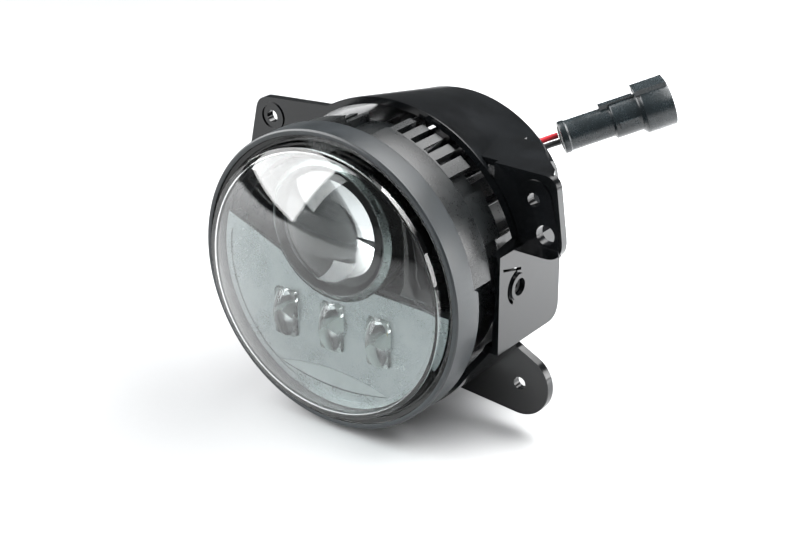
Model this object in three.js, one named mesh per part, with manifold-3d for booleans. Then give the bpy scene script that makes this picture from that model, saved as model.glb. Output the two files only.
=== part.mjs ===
// A round LED fog light with its mounting bracket, in millimetres.
// The lamp looks along -Y, +Z is up. The lamp axis is the Y axis while the pieces are drawn,
// with Y = 0 at the front face of the bezel. The whole light is then set down on Z = 0.
import * as THREE from "three";
import { mergeVertices } from "three/addons/utils/BufferGeometryUtils.js";
import Module from "manifold-3d";

const wasm = await Module();
wasm.setup();

// Fits
const seatGap = 0.3; // between pieces that touch
const runGap = 0.5; // between pieces that move past each other

// Bezel ring and lens
const faceRadius = 52;
const bezelDepth = 12;
const bezelWall = 1.3;
const bezelLip = 3.6;
const bezelLipThickness = 1.6;
const lensWall = 2.5;
const lensFlangeThickness = 2.4;
const lensRise = 17;
const lensSideWall = 4.6; // straight side below the dome
const gasketThickness = 1.2;
const gasketWidth = 2.4;

// Lamp housing
const frontRingWall = 4.4;
const maskSeatWidth = 3.5;
const maskSeatStep = 3; // front ring face to the seat of the mask
const cavityLength = 20.9; // seat of the mask to the cavity floor
const housingWall = 2.5;
const shellGap = 2.5; // front shell to the cheeks of the bracket
const finSectorInset = 0.8;
const sideSectorInset = 2.8;
const sectorClearance = 4; // fin sectors to the back of the mid wall
const midWallLength = 8;
const midInset = 0.5;
const sinkLength = 24;
const sinkBaseInset = 10;
const sinkFinInset = 2.5;
const sinkFinCount = 22;
const sinkFinWall = 2.2;
const driverBayWall = 7.5;
const driverBayFloor = 6; // wall between the cavity and the driver bay
const platformHeight = 11.8;
const slotAngles = [56, 62.5, 69, 75.5];
const slotWidth = 2.4;

// Optics
const projectorLensRadius = 21.5;
const projectorLensBulge = 7.9;
const projectorLensRim = 2.2;
const holderWall = 2.4;
const holderLength = 12;
const holderClearance = 0.8;
const holderToLens = 4.99;
const maskToLens = 4.85;
const reflectorInset = 1.5;
const reflectorThroatRadius = 8;
const reflectorWall = 1.2;
const shieldThickness = 1.2;
const opticPitch = 19.2;
const opticWidth = 8.6;
const opticClearance = 1.9; // projector holder to the beam optics
const opticFoot = 5.4; // beam optics to the tips of the light guide slot
const opticFaceDepth = 5.2;
const boardThickness = 1.6;
const chipSize = 3;
const chipHeight = 0.9;
const maskThickness = 1.4;
const crescentHalfWidth = 23;
const crescentTipInset = 4.4;
const crescentSag = 3.7;
const crescentFoot = 3.3; // to the wall of the cavity
const guideThickness = 3;

// Driver, rear cover and cable outlet
const coverThickness = 3;
const coverSealThickness = 1;
const coverSealWidth = 1.5;
const coverScrewInset = 3.1;
const coverScrewRadius = 1.6;
const coverScrewHeadRadius = 2.9;
const coverScrewHeadHeight = 1.7;
const coverScrewLength = 9;
const driverBoardDepth = 8; // behind the bay floor
const capacitorRadius = 4;
const capacitorLength = 9;
const capacitorPlace = [11, -6];
const inductorSize = 10;
const inductorHeight = 5.5;
const inductorPlace = [-11, 7];
const glandX = -8.8;
const glandZ = -12.95;
const glandTipRadius = 3.9;
const glandShoulder = 1.7;
const glandLength = 13;
const ventX = 12;
const ventZ = 10;
const ventRadius = 4.4;
const ventHeight = 1.8;

// Bracket
const cupClearance = 0.4; // cup radius over the face radius
const cupTaper = 7.8;
const cupWall = 2.4;
const cupRimGap = 2.5; // fin sectors to the upper rim
const lowerRimGap = 5; // bezel to the lower rim
const cupShoulderGap = 10.4; // rear cover to the rounded shoulder
const cupShoulderLength = 6;
const rearOpeningInset = 1; // inside the edge of the rear cover
const cupFlatInset = 8.6; // flat sides behind the cheeks
const cheekInset = 0.5;
const cheekAhead = 11; // of the pivot
const cheekBehind = 25.2;
const cheekBottom = -20.8;
const cheekTop = 14;
const cheekCorner = 6;
const earBehindPivot = 2;
const earThickness = 3;
const earReach = 11.4; // hole circle over the face radius
const leftHoleAngle = 146.6;
const smallHoleAngle = 29.1;
const largeHoleAngle = 18.2;
const lowerHoleAngle = -35.1;
const lowerEarRadius = 11.3;
const smallHoleRadius = 2.25;
const largeHoleRadius = 3.4;
const earRootInset = 11.5;
const rightEarTop = 9; // above its upper hole
const leftEarTop = 8.1;
const earRoofThickness = 2.2;
const earRoofDepth = 22;
const earRoofReach = 5.6; // beyond the small hole
const padHalfWidth = 10;
const padAhead = 13;
const padDrop = 1.8; // below the cup
const towerThickness = 4;
const towerMargin = 3;

// Aiming
const pivotAhead = 3; // of the back of the mid wall
const pivotHoleRadius = 3;
const pivotBossWall = 1.6;
const pivotBossHeight = 0.7;
const housingBossWall = 2.2;
const pivotPinInset = 0.9;
const pivotPinDepth = 4;
const screwRadius = 2.5;
const screwAhead = 8; // of the pivot
const screwHeadWall = 2.1;
const screwHeadLength = 4.6;
const socketRadius = 2.4;
const socketDepth = 1.5;
const nutWall = 1.6;
const nutLength = 9;
const nutFlangeWidth = 0.9;
const nutFlangeThickness = 1.6;
const armWall = 2.9;
const armFoot = 2;
const armThickness = 6;
const armClearance = 1.4; // foot of the arm to the cup
const screwTipRoom = 4.5; // ahead of the screw, taken up when the lamp tips down
const clipThickness = 1;
const clipWall = 1.6;

// Leads and plug
const leadRadius = 1.1;
const leadGap = 0.3;
// The middle of the pair of leads, from the end of the cable gland
const leadRoute = [
  [0, 0.3, 0],
  [0, 3.2, 0],
  [0.5, 6.4, 0.7],
  [1.9, 9.4, 2.8],
  [4.6, 11.4, 6.5],
  [7.9, 12.2, 11.1],
  [11.4, 12.1, 16],
  [14.9, 11.7, 21],
  [18.4, 11.4, 25.9],
  [22, 11.9, 30.4],
  [26.1, 13.7, 33.9],
  [30, 16.6, 36.3],
  [33.9, 20.2, 38],
];
const pairAim = [-0.8, 0.56, 0.6]; // from the middle of the pair to the red lead
const plugAim = new THREE.Vector3(0.68, 0.67, 0.29).normalize();
const plugRearRadius = 5.4;
const plugRearLength = 19;
const plugMiddleStep = 1.2;
const plugMiddleLength = 11;
const plugMouthStep = 1.7;
const plugMouthLength = 10.5;
const plugMouthWall = 1.6;
const plugMouthDepth = 14;
const plugSealWall = 1.2;
const plugSealDepth = 6;
const latchHalfWidth = 3.6;
const latchHeight = 1;
const latchHoleRadius = 1.1;
const terminalRadius = 0.9;
const terminalX = 2.2;
const terminalSetback = 6;

// Roundness
const roundFaces = 48;
const smallFaces = 20;
const tinyFaces = 12;
const cornerFaces = 5;

const finishes = {
  blackCast: new THREE.MeshStandardMaterial({ color: "#2c2f31", roughness: 0.45, metalness: 0.6 }),
  bezelBlack: new THREE.MeshStandardMaterial({ color: "#4a4f52", roughness: 0.35, metalness: 0.5 }),
  glossBlack: new THREE.MeshStandardMaterial({ color: "#0c0f10", roughness: 0.2, metalness: 0 }),
  softBlack: new THREE.MeshStandardMaterial({ color: "#14171a", roughness: 0.7, metalness: 0 }),
  charcoal: new THREE.MeshStandardMaterial({ color: "#3d4548", roughness: 0.4, metalness: 0 }),
  silver: new THREE.MeshStandardMaterial({ color: "#a8b0b0", roughness: 0.25, metalness: 0.9 }),
  clear: new THREE.MeshStandardMaterial({
    color: "#eef4f6",
    roughness: 0.05,
    metalness: 0,
    transparent: true,
    opacity: 0.25,
  }),
  frosted: new THREE.MeshStandardMaterial({ color: "#e9eeee", roughness: 0.4, metalness: 0 }),
  steel: new THREE.MeshStandardMaterial({ color: "#8b8f92", roughness: 0.35, metalness: 1 }),
  brass: new THREE.MeshStandardMaterial({ color: "#b9bcc0", roughness: 0.3, metalness: 1 }),
  board: new THREE.MeshStandardMaterial({ color: "#e6e8e4", roughness: 0.5, metalness: 0 }),
  greenBoard: new THREE.MeshStandardMaterial({ color: "#1f5a3a", roughness: 0.5, metalness: 0 }),
  amber: new THREE.MeshStandardMaterial({ color: "#c98f35", roughness: 0.4, metalness: 0 }),
  phosphor: new THREE.MeshStandardMaterial({ color: "#e3c24a", roughness: 0.5, metalness: 0 }),
  nylon: new THREE.MeshStandardMaterial({ color: "#d9d9d2", roughness: 0.5, metalness: 0 }),
  orangeSilicone: new THREE.MeshStandardMaterial({ color: "#b4552c", roughness: 0.7, metalness: 0 }),
  redLead: new THREE.MeshStandardMaterial({ color: "#c83c46", roughness: 0.45, metalness: 0 }),
};

const light = new THREE.Group();
const head = new THREE.Group();
const bracket = new THREE.Group();
const aiming = new THREE.Group();
const pigtail = new THREE.Group();
light.add(head, bracket, aiming, pigtail);

function piece(parent, name, geometry, material) {
  const mesh = new THREE.Mesh(geometry, material);
  mesh.name = name;
  parent.add(mesh);
  return mesh;
}

// Closed three.js geometry to a solid and back, for cuts and joins.
function solid(geometry) {
  const bare = geometry.index ? geometry.toNonIndexed() : geometry.clone();
  bare.deleteAttribute("normal");
  bare.deleteAttribute("uv");
  const merged = mergeVertices(bare, 1e-4);
  const corners = merged.index.array;
  const triVerts = [];
  for (let i = 0; i < corners.length; i += 3) {
    const [a, b, c] = [corners[i], corners[i + 1], corners[i + 2]];
    if (a !== b && b !== c && c !== a) triVerts.push(a, b, c);
  }
  return new wasm.Manifold(
    new wasm.Mesh({
      numProp: 3,
      vertProperties: merged.attributes.position.array,
      triVerts: new Uint32Array(triVerts),
    }),
  );
}

function shell(body) {
  const mesh = body.getMesh();
  const geometry = new THREE.BufferGeometry();
  geometry.setAttribute("position", new THREE.BufferAttribute(mesh.vertProperties, 3));
  geometry.setIndex(new THREE.BufferAttribute(mesh.triVerts, 1));
  geometry.computeVertexNormals();
  return geometry;
}

// A closed [radius, y] outline turned about the Y axis.
function turned(outline, faces = roundFaces) {
  const points = outline.map(([r, y]) => new THREE.Vector2(r, y));
  if (THREE.ShapeUtils.area(points) < 0) points.reverse();
  const onAxis = points.filter((p) => p.x === 0).length;
  if (onAxis === 0) points.push(points[0].clone());
  while (onAxis === 2 && !(points[0].x === 0 && points.at(-1).x === 0)) points.push(points.shift());
  return new THREE.LatheGeometry(points, faces);
}

// A bar along Y, from y0 to y1, with its centre at x, z.
function bar(radius, y0, y1, x = 0, z = 0, faces = smallFaces, endRadius = radius) {
  return new THREE.CylinderGeometry(endRadius, radius, y1 - y0, faces).translate(x, (y0 + y1) / 2, z);
}

// A bar along X, from x0 to x1.
function crossBar(radius, x0, x1, y, z, faces = smallFaces) {
  return new THREE.CylinderGeometry(radius, radius, x1 - x0, faces)
    .rotateZ(-Math.PI / 2)
    .translate((x0 + x1) / 2, y, z);
}

function block([x0, x1], [y0, y1], [z0, z1]) {
  return new THREE.BoxGeometry(x1 - x0, y1 - y0, z1 - z0).translate(
    (x0 + x1) / 2,
    (y0 + y1) / 2,
    (z0 + z1) / 2,
  );
}

// An outline in X and Z, with thickness along Y from y0 to y1.
function plate(outline, y0, y1, curveSegments = cornerFaces) {
  return new THREE.ExtrudeGeometry(outline, { depth: y1 - y0, bevelEnabled: false, curveSegments })
    .rotateX(Math.PI / 2)
    .translate(0, y1, 0);
}

// An outline in Y and Z, with thickness along X from x0 to x1.
function sidePlate(outline, x0, x1, curveSegments = cornerFaces) {
  return new THREE.ExtrudeGeometry(outline, { depth: x1 - x0, bevelEnabled: false, curveSegments })
    .rotateX(Math.PI / 2)
    .rotateZ(Math.PI / 2)
    .translate(x0, 0, 0);
}

// A polygon with its corners rounded, each corner as [x, y, radius].
function rounded(corners) {
  const shape = new THREE.Shape();
  corners.forEach(([x, y, radius = 0], i) => {
    const here = new THREE.Vector2(x, y);
    const before = new THREE.Vector2(...corners.at(i - 1));
    const after = new THREE.Vector2(...corners[(i + 1) % corners.length]);
    const into = before.sub(here).normalize();
    const out = after.sub(here).normalize();
    const reach = radius / Math.tan(Math.acos(into.dot(out)) / 2) || 0;
    const start = here.clone().addScaledVector(into, reach);
    const end = here.clone().addScaledVector(out, reach);
    if (i === 0) shape.moveTo(start.x, start.y);
    else shape.lineTo(start.x, start.y);
    if (radius > 0) shape.quadraticCurveTo(x, y, end.x, end.y);
  });
  shape.closePath();
  return shape;
}

// A slice of a ring about the Y axis, between two angles from +X towards +Z.
function ringSlice(inner, outer, y0, y1, from, to) {
  const a = THREE.MathUtils.degToRad(from);
  const b = THREE.MathUtils.degToRad(to);
  const outline = new THREE.Shape();
  outline.absarc(0, 0, outer, a, b, false);
  outline.absarc(0, 0, inner, b, a, true);
  outline.closePath();
  return plate(outline, y0, y1, Math.ceil((to - from) / 6));
}

// The two ends of a length, smaller first.
function ordered(a, b) {
  return [Math.min(a, b), Math.max(a, b)];
}

const both = [-1, 1];
const cornerSigns = [
  [-1, -1],
  [1, -1],
  [1, 1],
  [-1, 1],
];

// Radii that follow from the sizes above
const boreRadius = faceRadius - bezelWall;
const shellRadius = boreRadius - seatGap;
const bezelLipInner = faceRadius - bezelLip;
const frontBoreRadius = shellRadius - frontRingWall;
const maskRadius = frontBoreRadius - 2 * runGap;
const cavityRadius = frontBoreRadius - maskSeatWidth;
const lowerRadius = cavityRadius + housingWall;
const midRadius = cavityRadius - midInset;
const sinkBaseRadius = midRadius - sinkBaseInset;
const sinkFinRadius = midRadius - sinkFinInset;
const driverBayRadius = sinkBaseRadius - driverBayWall;
const coverRadius = sinkBaseRadius;
const cupRadius = faceRadius + cupClearance;
const cupRearRadius = cupRadius - cupTaper;
const cupInner = cupRadius - cupWall;
const rearOpeningRadius = coverRadius - rearOpeningInset;
const cupFlat = cupRearRadius - cupFlatInset;
const cheekX = faceRadius - cheekInset;
const earCircle = faceRadius + earReach;
const nutRadius = screwRadius + nutWall;
const clipRadius = screwRadius + clipWall;
const screwHeadRadius = screwRadius + screwHeadWall;

// Places along the lamp axis
const lensFront = bezelLipThickness + seatGap;
const lensBack = lensFront + lensFlangeThickness;
const gasketFront = lensBack + seatGap;
const housingFront = gasketFront + gasketThickness + seatGap;
const maskSeatDepth = housingFront + maskSeatStep;
const cavityDepth = maskSeatDepth + cavityLength;
const platformDepth = cavityDepth - platformHeight;
const midWallEnd = cavityDepth + midWallLength;
const finSectorEnd = midWallEnd - sectorClearance;
const sinkEnd = midWallEnd + sinkLength;
const bayFloor = cavityDepth + driverBayFloor;
const coverFront = sinkEnd + seatGap + coverSealThickness + seatGap;
const coverBack = coverFront + coverThickness;
const outletFace = coverBack + seatGap;
const glandEnd = outletFace + glandLength;
const cupShoulder = coverBack + cupShoulderGap;
const cupEnd = cupShoulder + cupShoulderLength;
const cupRimTop = finSectorEnd + cupRimGap;
const cupRimBottom = bezelDepth + lowerRimGap;
const pivotY = midWallEnd - pivotAhead;
const cheekFront = pivotY - cheekAhead;
const shellEnd = cheekFront - shellGap;
const cheekRear = pivotY + cheekBehind;
const earFront = pivotY + earBehindPivot;
const padFront = pivotY - padAhead;
const screwFront = pivotY - screwAhead;
const armFront = pivotY - armThickness / 2;

// Places across the lamp axis
const holderOuterRadius = projectorLensRadius + seatGap + holderWall;
const projectorZ = cavityRadius - holderClearance - holderOuterRadius;
const platformTop = projectorZ - holderOuterRadius;
const crescentTipZ = -Math.sqrt((cavityRadius - crescentTipInset) ** 2 - crescentHalfWidth ** 2);
const crescentHeight = crescentTipZ - crescentSag + cavityRadius - crescentFoot;
const opticTop = platformTop - opticClearance;
const opticBottom = crescentTipZ + opticFoot;
const opticZ = (opticTop + opticBottom) / 2;
const screwZ = nutRadius + armFoot + armClearance - cupInner;
const padBottom = -cupRadius - padDrop;

// The lens dome is part of a sphere, and the projector and the mask stand just clear of its inner face.
function domeSphere() {
  const domeEdge = bezelLipInner - runGap;
  const rise = lensRise - lensSideWall;
  const outerCurve = (domeEdge ** 2 + rise ** 2) / (2 * rise);
  return { domeEdge, outerCurve, innerCurve: outerCurve - lensWall, centreY: lensFront - lensRise + outerCurve };
}

const dome = domeSphere();
const domeInnerAt = (radius) => dome.centreY - Math.sqrt(dome.innerCurve ** 2 - radius ** 2);
const holderFront = domeInnerAt(cavityRadius - holderClearance) + holderToLens;
const maskFront = domeInnerAt(maskRadius) + maskToLens;

// Front: bezel, lens and its seal

function makeBezel() {
  const edge = 0.6;
  const outline = [
    [bezelLipInner, 0],
    [faceRadius - edge, 0],
    [faceRadius, edge],
    [faceRadius, bezelDepth],
    [boreRadius, bezelDepth],
    [boreRadius, bezelLipThickness],
    [bezelLipInner, bezelLipThickness],
  ];
  piece(head, "bezel_ring", turned(outline), finishes.bezelBlack);
}

function makeOuterLens() {
  const steps = 5;
  const { domeEdge, outerCurve, innerCurve, centreY } = dome;
  const arc = (radius, edge) => {
    const widest = Math.asin(edge / radius);
    return Array.from({ length: steps + 1 }, (_, i) => {
      const angle = (widest * i) / steps;
      return [i === 0 ? 0 : radius * Math.sin(angle), centreY - radius * Math.cos(angle)];
    });
  };
  const flangeRadius = boreRadius - runGap;
  const outline = [
    ...arc(outerCurve, domeEdge),
    [domeEdge, lensFront],
    [flangeRadius, lensFront],
    [flangeRadius, lensBack],
    [domeEdge - lensWall, lensBack],
    ...arc(innerCurve, domeEdge - lensWall).reverse(),
  ];
  piece(head, "outer_lens", turned(outline), finishes.clear);
}

function makeLensGasket() {
  const outer = shellRadius - runGap;
  const inner = outer - gasketWidth;
  const outline = [
    [inner, gasketFront],
    [outer, gasketFront],
    [outer, gasketFront + gasketThickness],
    [inner, gasketFront + gasketThickness],
  ];
  piece(head, "lens_gasket", turned(outline), finishes.softBlack);
}

// Housing: one casting with the front ring, the mid wall and the rear heat sink

function finStar() {
  const root = sinkBaseRadius - 0.5;
  const outline = new THREE.Shape();
  for (let i = 0; i < sinkFinCount; i++) {
    const middle = (2 * Math.PI * i) / sinkFinCount;
    const corners = [
      [root, -1],
      [sinkFinRadius, -0.8],
      [sinkFinRadius, 0.8],
      [root, 1],
    ];
    corners.forEach(([r, side], j) => {
      const angle = middle + Math.asin((side * sinkFinWall) / 2 / r);
      const move = i + j === 0 ? "moveTo" : "lineTo";
      outline[move](r * Math.cos(angle), r * Math.sin(angle));
    });
  }
  outline.closePath();
  return plate(outline, midWallEnd - 1, sinkEnd - 1.5);
}

function housingBody() {
  const step = 1.5;
  const outline = [
    [0, cavityDepth],
    [cavityRadius, cavityDepth],
    [cavityRadius, maskSeatDepth],
    [frontBoreRadius, maskSeatDepth],
    [frontBoreRadius, housingFront],
    [shellRadius, housingFront],
    [shellRadius, shellEnd],
    [lowerRadius, shellEnd + step],
    [lowerRadius, midWallEnd - 2 * step],
    [midRadius, midWallEnd - step],
    [midRadius, midWallEnd],
    [sinkBaseRadius, midWallEnd],
    [sinkBaseRadius, sinkEnd],
    [0, sinkEnd],
  ];
  return solid(turned(outline)).add(solid(finStar()));
}

function platformOutline() {
  const radius = cavityRadius + 0.2;
  const reach = Math.asin(platformTop / radius);
  const outline = new THREE.Shape();
  outline.absarc(0, 0, radius, reach, -Math.PI - reach, true);
  outline.closePath();
  return outline;
}

function shellSectors() {
  const bands = [
    [20, 40, sideSectorInset],
    [49, 80, finSectorInset],
    [100, 131, sideSectorInset],
    [140, 160, sideSectorInset],
  ];
  return bands.map(([from, to, inset]) =>
    solid(ringSlice(lowerRadius - 1, shellRadius - inset, shellEnd - 1, finSectorEnd, from, to)),
  );
}

function finSlots() {
  const floor = lowerRadius + 0.6;
  const angles = [...slotAngles, ...slotAngles.map((angle) => 180 - angle)];
  return angles.map((angle) => {
    const half = slotWidth / 2;
    const slot = block([floor, faceRadius], [shellEnd + 1.5, finSectorEnd + 1], [-half, half]);
    return solid(slot.rotateY(-THREE.MathUtils.degToRad(angle)));
  });
}

// The arm below the lamp that carries the nut, in a notch that leaves the screw its travel.
function nutArm(body) {
  const halfWidth = nutRadius + armWall;
  const top = screwZ + nutRadius + 2 * armWall;
  const rear = armFront + armThickness;
  const sideRoom = 2;
  const notch = block(
    [-halfWidth - sideRoom, halfWidth + sideRoom],
    [screwFront - screwTipRoom, rear + 1],
    [-faceRadius, top],
  );
  const foot = screwZ - nutRadius - armFoot;
  const arm = block([-halfWidth, halfWidth], [armFront, rear], [foot, top + sideRoom]);
  return body
    .subtract(solid(notch))
    .add(solid(arm))
    .subtract(solid(bar(nutRadius + seatGap, armFront - 1, rear + 1, 0, screwZ)));
}

// The bosses on both sides that hold the pivot pins.
function pivotBosses(body) {
  const bossEnd = cheekX - cupWall - runGap;
  const bossRoot = midRadius - housingBossWall - pivotPinDepth;
  let result = body;
  for (const side of both) {
    const [inner, outer] = ordered(side * bossRoot, side * bossEnd);
    const boss = crossBar(pivotHoleRadius + housingBossWall, inner, outer, pivotY, 0);
    const [from, to] = ordered(side * (midRadius - pivotPinDepth), side * faceRadius);
    result = result.add(solid(boss)).subtract(solid(crossBar(pivotHoleRadius, from, to, pivotY, 0)));
  }
  return result;
}

function makeHousing() {
  let body = housingBody().add(solid(plate(platformOutline(), platformDepth, cavityDepth + 1, smallFaces)));
  for (const sector of shellSectors()) body = body.add(sector);
  for (const slot of finSlots()) body = body.subtract(slot);
  body = body
    .subtract(solid(ringSlice(lowerRadius, faceRadius, bezelDepth + seatGap, shellEnd + 2, -188, 8)))
    .subtract(solid(ringSlice(lowerRadius, faceRadius, bezelDepth + 1, shellEnd + 2, 80, 100)));
  const driverBay = bar(driverBayRadius, bayFloor, sinkEnd + 1, 0, 0, roundFaces);
  body = pivotBosses(nutArm(body)).subtract(solid(driverBay));
  for (const [x, z] of coverScrewPlaces()) {
    const hole = bar(coverScrewRadius + seatGap, coverBack - coverScrewLength, sinkEnd + 1, x, z, tinyFaces);
    body = body.subtract(solid(hole));
  }
  piece(head, "lamp_housing", shell(body), finishes.blackCast);
}

function makePivotPins() {
  const names = { "-1": "pivot_pin_left", 1: "pivot_pin_right" };
  for (const side of both) {
    const inner = midRadius - pivotPinDepth + seatGap;
    const outer = cheekX - pivotPinInset;
    const pin = crossBar(pivotHoleRadius - seatGap, ...ordered(side * inner, side * outer), pivotY, 0);
    piece(head, names[side], pin, finishes.softBlack);
  }
}

// Optics

function makeProjector() {
  const lensOuter = projectorLensRadius;
  const holderInner = lensOuter + seatGap;
  const ledge = 1.5;
  const holderEnd = holderFront + holderLength;
  const lensBackY = holderFront + projectorLensRim + 2;
  const at = (geometry) => geometry.translate(0, 0, projectorZ);

  const steps = 6;
  const curve = (lensOuter ** 2 + projectorLensBulge ** 2) / (2 * projectorLensBulge);
  const rimY = lensBackY - projectorLensRim;
  const widest = Math.asin(lensOuter / curve);
  const front = Array.from({ length: steps + 1 }, (_, i) => {
    const angle = (widest * i) / steps;
    return [i === 0 ? 0 : curve * Math.sin(angle), rimY - projectorLensBulge + curve * (1 - Math.cos(angle))];
  });
  const lensOutline = [...front, [lensOuter, lensBackY], [0, lensBackY]];
  piece(head, "projector_lens", at(turned(lensOutline, 40)), finishes.clear);

  const holderOutline = [
    [holderInner, holderFront],
    [holderOuterRadius, holderFront],
    [holderOuterRadius, holderEnd],
    [lensOuter - ledge, holderEnd],
    [lensOuter - ledge, lensBackY + seatGap],
    [holderInner, lensBackY + seatGap],
  ];
  piece(head, "projector_holder", at(turned(holderOutline, 40)), finishes.charcoal);

  const mouth = lensOuter - reflectorInset;
  const waist = mouth * 0.8;
  const reflectorFront = holderEnd + shieldThickness + 2 * seatGap;
  const reflectorBack = cavityDepth - boardThickness - 2 * runGap;
  const reflectorMiddle = (reflectorFront + reflectorBack) / 2 + 1;
  const reflectorOutline = [
    [mouth, reflectorFront],
    [mouth + reflectorWall, reflectorFront],
    [waist + reflectorWall, reflectorMiddle],
    [reflectorThroatRadius + reflectorWall, reflectorBack],
    [reflectorThroatRadius, reflectorBack],
    [waist, reflectorMiddle],
  ];
  piece(head, "projector_reflector", at(turned(reflectorOutline, 40)), finishes.silver);

  const shield = new THREE.Shape();
  const shieldRadius = holderOuterRadius - seatGap;
  shield.absarc(0, projectorZ, shieldRadius, 0, Math.PI * 2, false);
  const window = new THREE.Path();
  window.absarc(0, projectorZ, lensOuter - ledge - 1, 0, Math.PI, false);
  window.closePath();
  shield.holes.push(window);
  const shieldPlate = plate(shield, holderEnd + seatGap, holderEnd + seatGap + shieldThickness, 30);
  piece(head, "cutoff_shield", shieldPlate, finishes.steel);

  const boardBack = cavityDepth - seatGap;
  const boardFront = boardBack - boardThickness;
  const board = block([-11, 11], [boardFront, boardBack], [projectorZ - 10, projectorZ + 10]);
  piece(head, "projector_led_board", board, finishes.board);
  const chip = block(
    [-chipSize, chipSize],
    [boardFront - seatGap - chipHeight, boardFront - seatGap],
    [projectorZ - chipSize / 2, projectorZ + chipSize / 2],
  );
  piece(head, "projector_led", chip, finishes.amber);
}

function maskOutline() {
  const cut = holderOuterRadius + seatGap;
  const rise = Math.asin(0.3);
  const outline = new THREE.Shape();
  outline.absarc(0, 0, maskRadius, -0.02, -Math.PI - rise, true);
  outline.lineTo(-cut * Math.cos(0.55), projectorZ - cut * Math.sin(0.55));
  outline.absarc(0, projectorZ, cut, Math.PI + 0.55, 2 * Math.PI - 0.8, false);
  outline.closePath();
  return outline;
}

function upperTrimOutline() {
  const cut = holderOuterRadius + seatGap;
  const rise = Math.asin(0.3);
  const gap = 0.5 / maskRadius;
  const outline = new THREE.Shape();
  outline.absarc(0, 0, maskRadius, gap, Math.PI + rise - 2 * gap - 2 * rise, false);
  outline.lineTo(-cut * Math.cos(0.5), projectorZ - cut * Math.sin(0.5));
  outline.absarc(0, projectorZ, cut, Math.PI + 0.5, -0.72, true);
  outline.closePath();
  return outline;
}

function opticWindow(x) {
  const halfWidth = opticWidth / 2 + seatGap;
  return rounded([
    [x - halfWidth, opticBottom - seatGap, 1],
    [x + halfWidth, opticBottom - seatGap, 1],
    [x + halfWidth, opticTop + seatGap, 1],
    [x - halfWidth, opticTop + seatGap, 1],
  ]);
}

function crescent(grow) {
  const tip = crescentHalfWidth + grow;
  const outline = new THREE.Shape();
  const topControl = crescentTipZ - 2 * crescentSag + grow;
  const bottomControl = crescentTipZ - 2 * (crescentSag + crescentHeight) - grow;
  outline.moveTo(-tip, crescentTipZ);
  outline.quadraticCurveTo(0, topControl, tip, crescentTipZ);
  outline.quadraticCurveTo(0, bottomControl, -tip, crescentTipZ);
  return outline;
}

const opticPlaces = { left: -opticPitch, middle: 0, right: opticPitch };

function makeTrims() {
  const maskBack = maskFront + maskThickness;
  let mask = solid(plate(maskOutline(), maskFront, maskBack, 30));
  const skirt = ringSlice(cavityRadius - 1.2, maskRadius, maskBack - 0.2, maskSeatDepth - seatGap, -196, -2);
  mask = mask.add(solid(skirt));
  for (const x of Object.values(opticPlaces)) {
    mask = mask.subtract(solid(plate(opticWindow(x), maskFront - 1, maskBack + 1)));
  }
  mask = mask.subtract(solid(plate(crescent(0), maskFront - 1, maskBack + 1, 10)));
  piece(head, "silver_mask", shell(mask), finishes.silver);
  piece(head, "upper_trim", plate(upperTrimOutline(), maskFront, maskBack, 30), finishes.softBlack);
}

function makeBeamOptics() {
  const boardBack = platformDepth - seatGap;
  const boardFront = boardBack - boardThickness;
  const boardHalfWidth = opticPitch + 1.5 * opticWidth;
  const boardTop = opticTop - seatGap - boardThickness;
  const boardOutline = rounded([
    [-boardHalfWidth, crescentTipZ, 8],
    [boardHalfWidth, crescentTipZ, 8],
    [boardHalfWidth, boardTop, 3],
    [-boardHalfWidth, boardTop, 3],
  ]);
  piece(head, "beam_led_board", plate(boardOutline, boardFront, boardBack), finishes.board);
  const chipFront = boardFront - seatGap - chipHeight;
  for (const [place, x] of Object.entries(opticPlaces)) {
    const chip = block(
      [x - chipSize / 2, x + chipSize / 2],
      [chipFront, chipFront + chipHeight],
      [opticZ - chipSize / 2, opticZ + chipSize / 2],
    );
    piece(head, `beam_led_${place}`, chip, finishes.phosphor);
    const face = rounded([
      [x - opticWidth / 2, opticBottom, 1],
      [x + opticWidth / 2, opticBottom, 1],
      [x + opticWidth / 2, opticTop, 1],
      [x - opticWidth / 2, opticTop, 1],
    ]);
    const faceBack = lensFront + opticFaceDepth;
    const throat = 0.3 * opticWidth;
    const funnel = new THREE.CylinderGeometry(throat, opticWidth / 2, chipFront - seatGap - faceBack + 0.2, 16)
      .translate(x, (chipFront - seatGap + faceBack - 0.2) / 2, opticZ);
    const optic = solid(plate(face, lensFront, faceBack)).add(solid(funnel));
    piece(head, `beam_optic_${place}`, shell(optic), finishes.clear);
  }
  const guideFront = maskFront + maskThickness + seatGap;
  const guide = plate(crescent(1), guideFront, guideFront + guideThickness, 10);
  piece(head, "accent_light_guide", guide, finishes.frosted);
}

// Driver and rear cover

function makeDriver() {
  const boardY = bayFloor + driverBoardDepth;
  const boardRadius = driverBayRadius - runGap;
  piece(head, "driver_board", bar(boardRadius, boardY, boardY + boardThickness, 0, 0, 48), finishes.greenBoard);
  const partY = boardY + boardThickness + seatGap;
  const capacitor = bar(capacitorRadius, partY, partY + capacitorLength, ...capacitorPlace);
  piece(head, "driver_capacitor", capacitor, finishes.softBlack);
  const half = inductorSize / 2;
  const [coilX, coilZ] = inductorPlace;
  const coil = block(
    [coilX - half, coilX + half],
    [partY, partY + inductorHeight],
    [coilZ - half, coilZ + half],
  );
  piece(head, "driver_inductor", coil, finishes.charcoal);
}

function coverScrewPlaces() {
  const reach = (coverRadius - coverScrewInset) * Math.SQRT1_2;
  return cornerSigns.map(([x, z]) => [x * reach, z * reach]);
}

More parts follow.
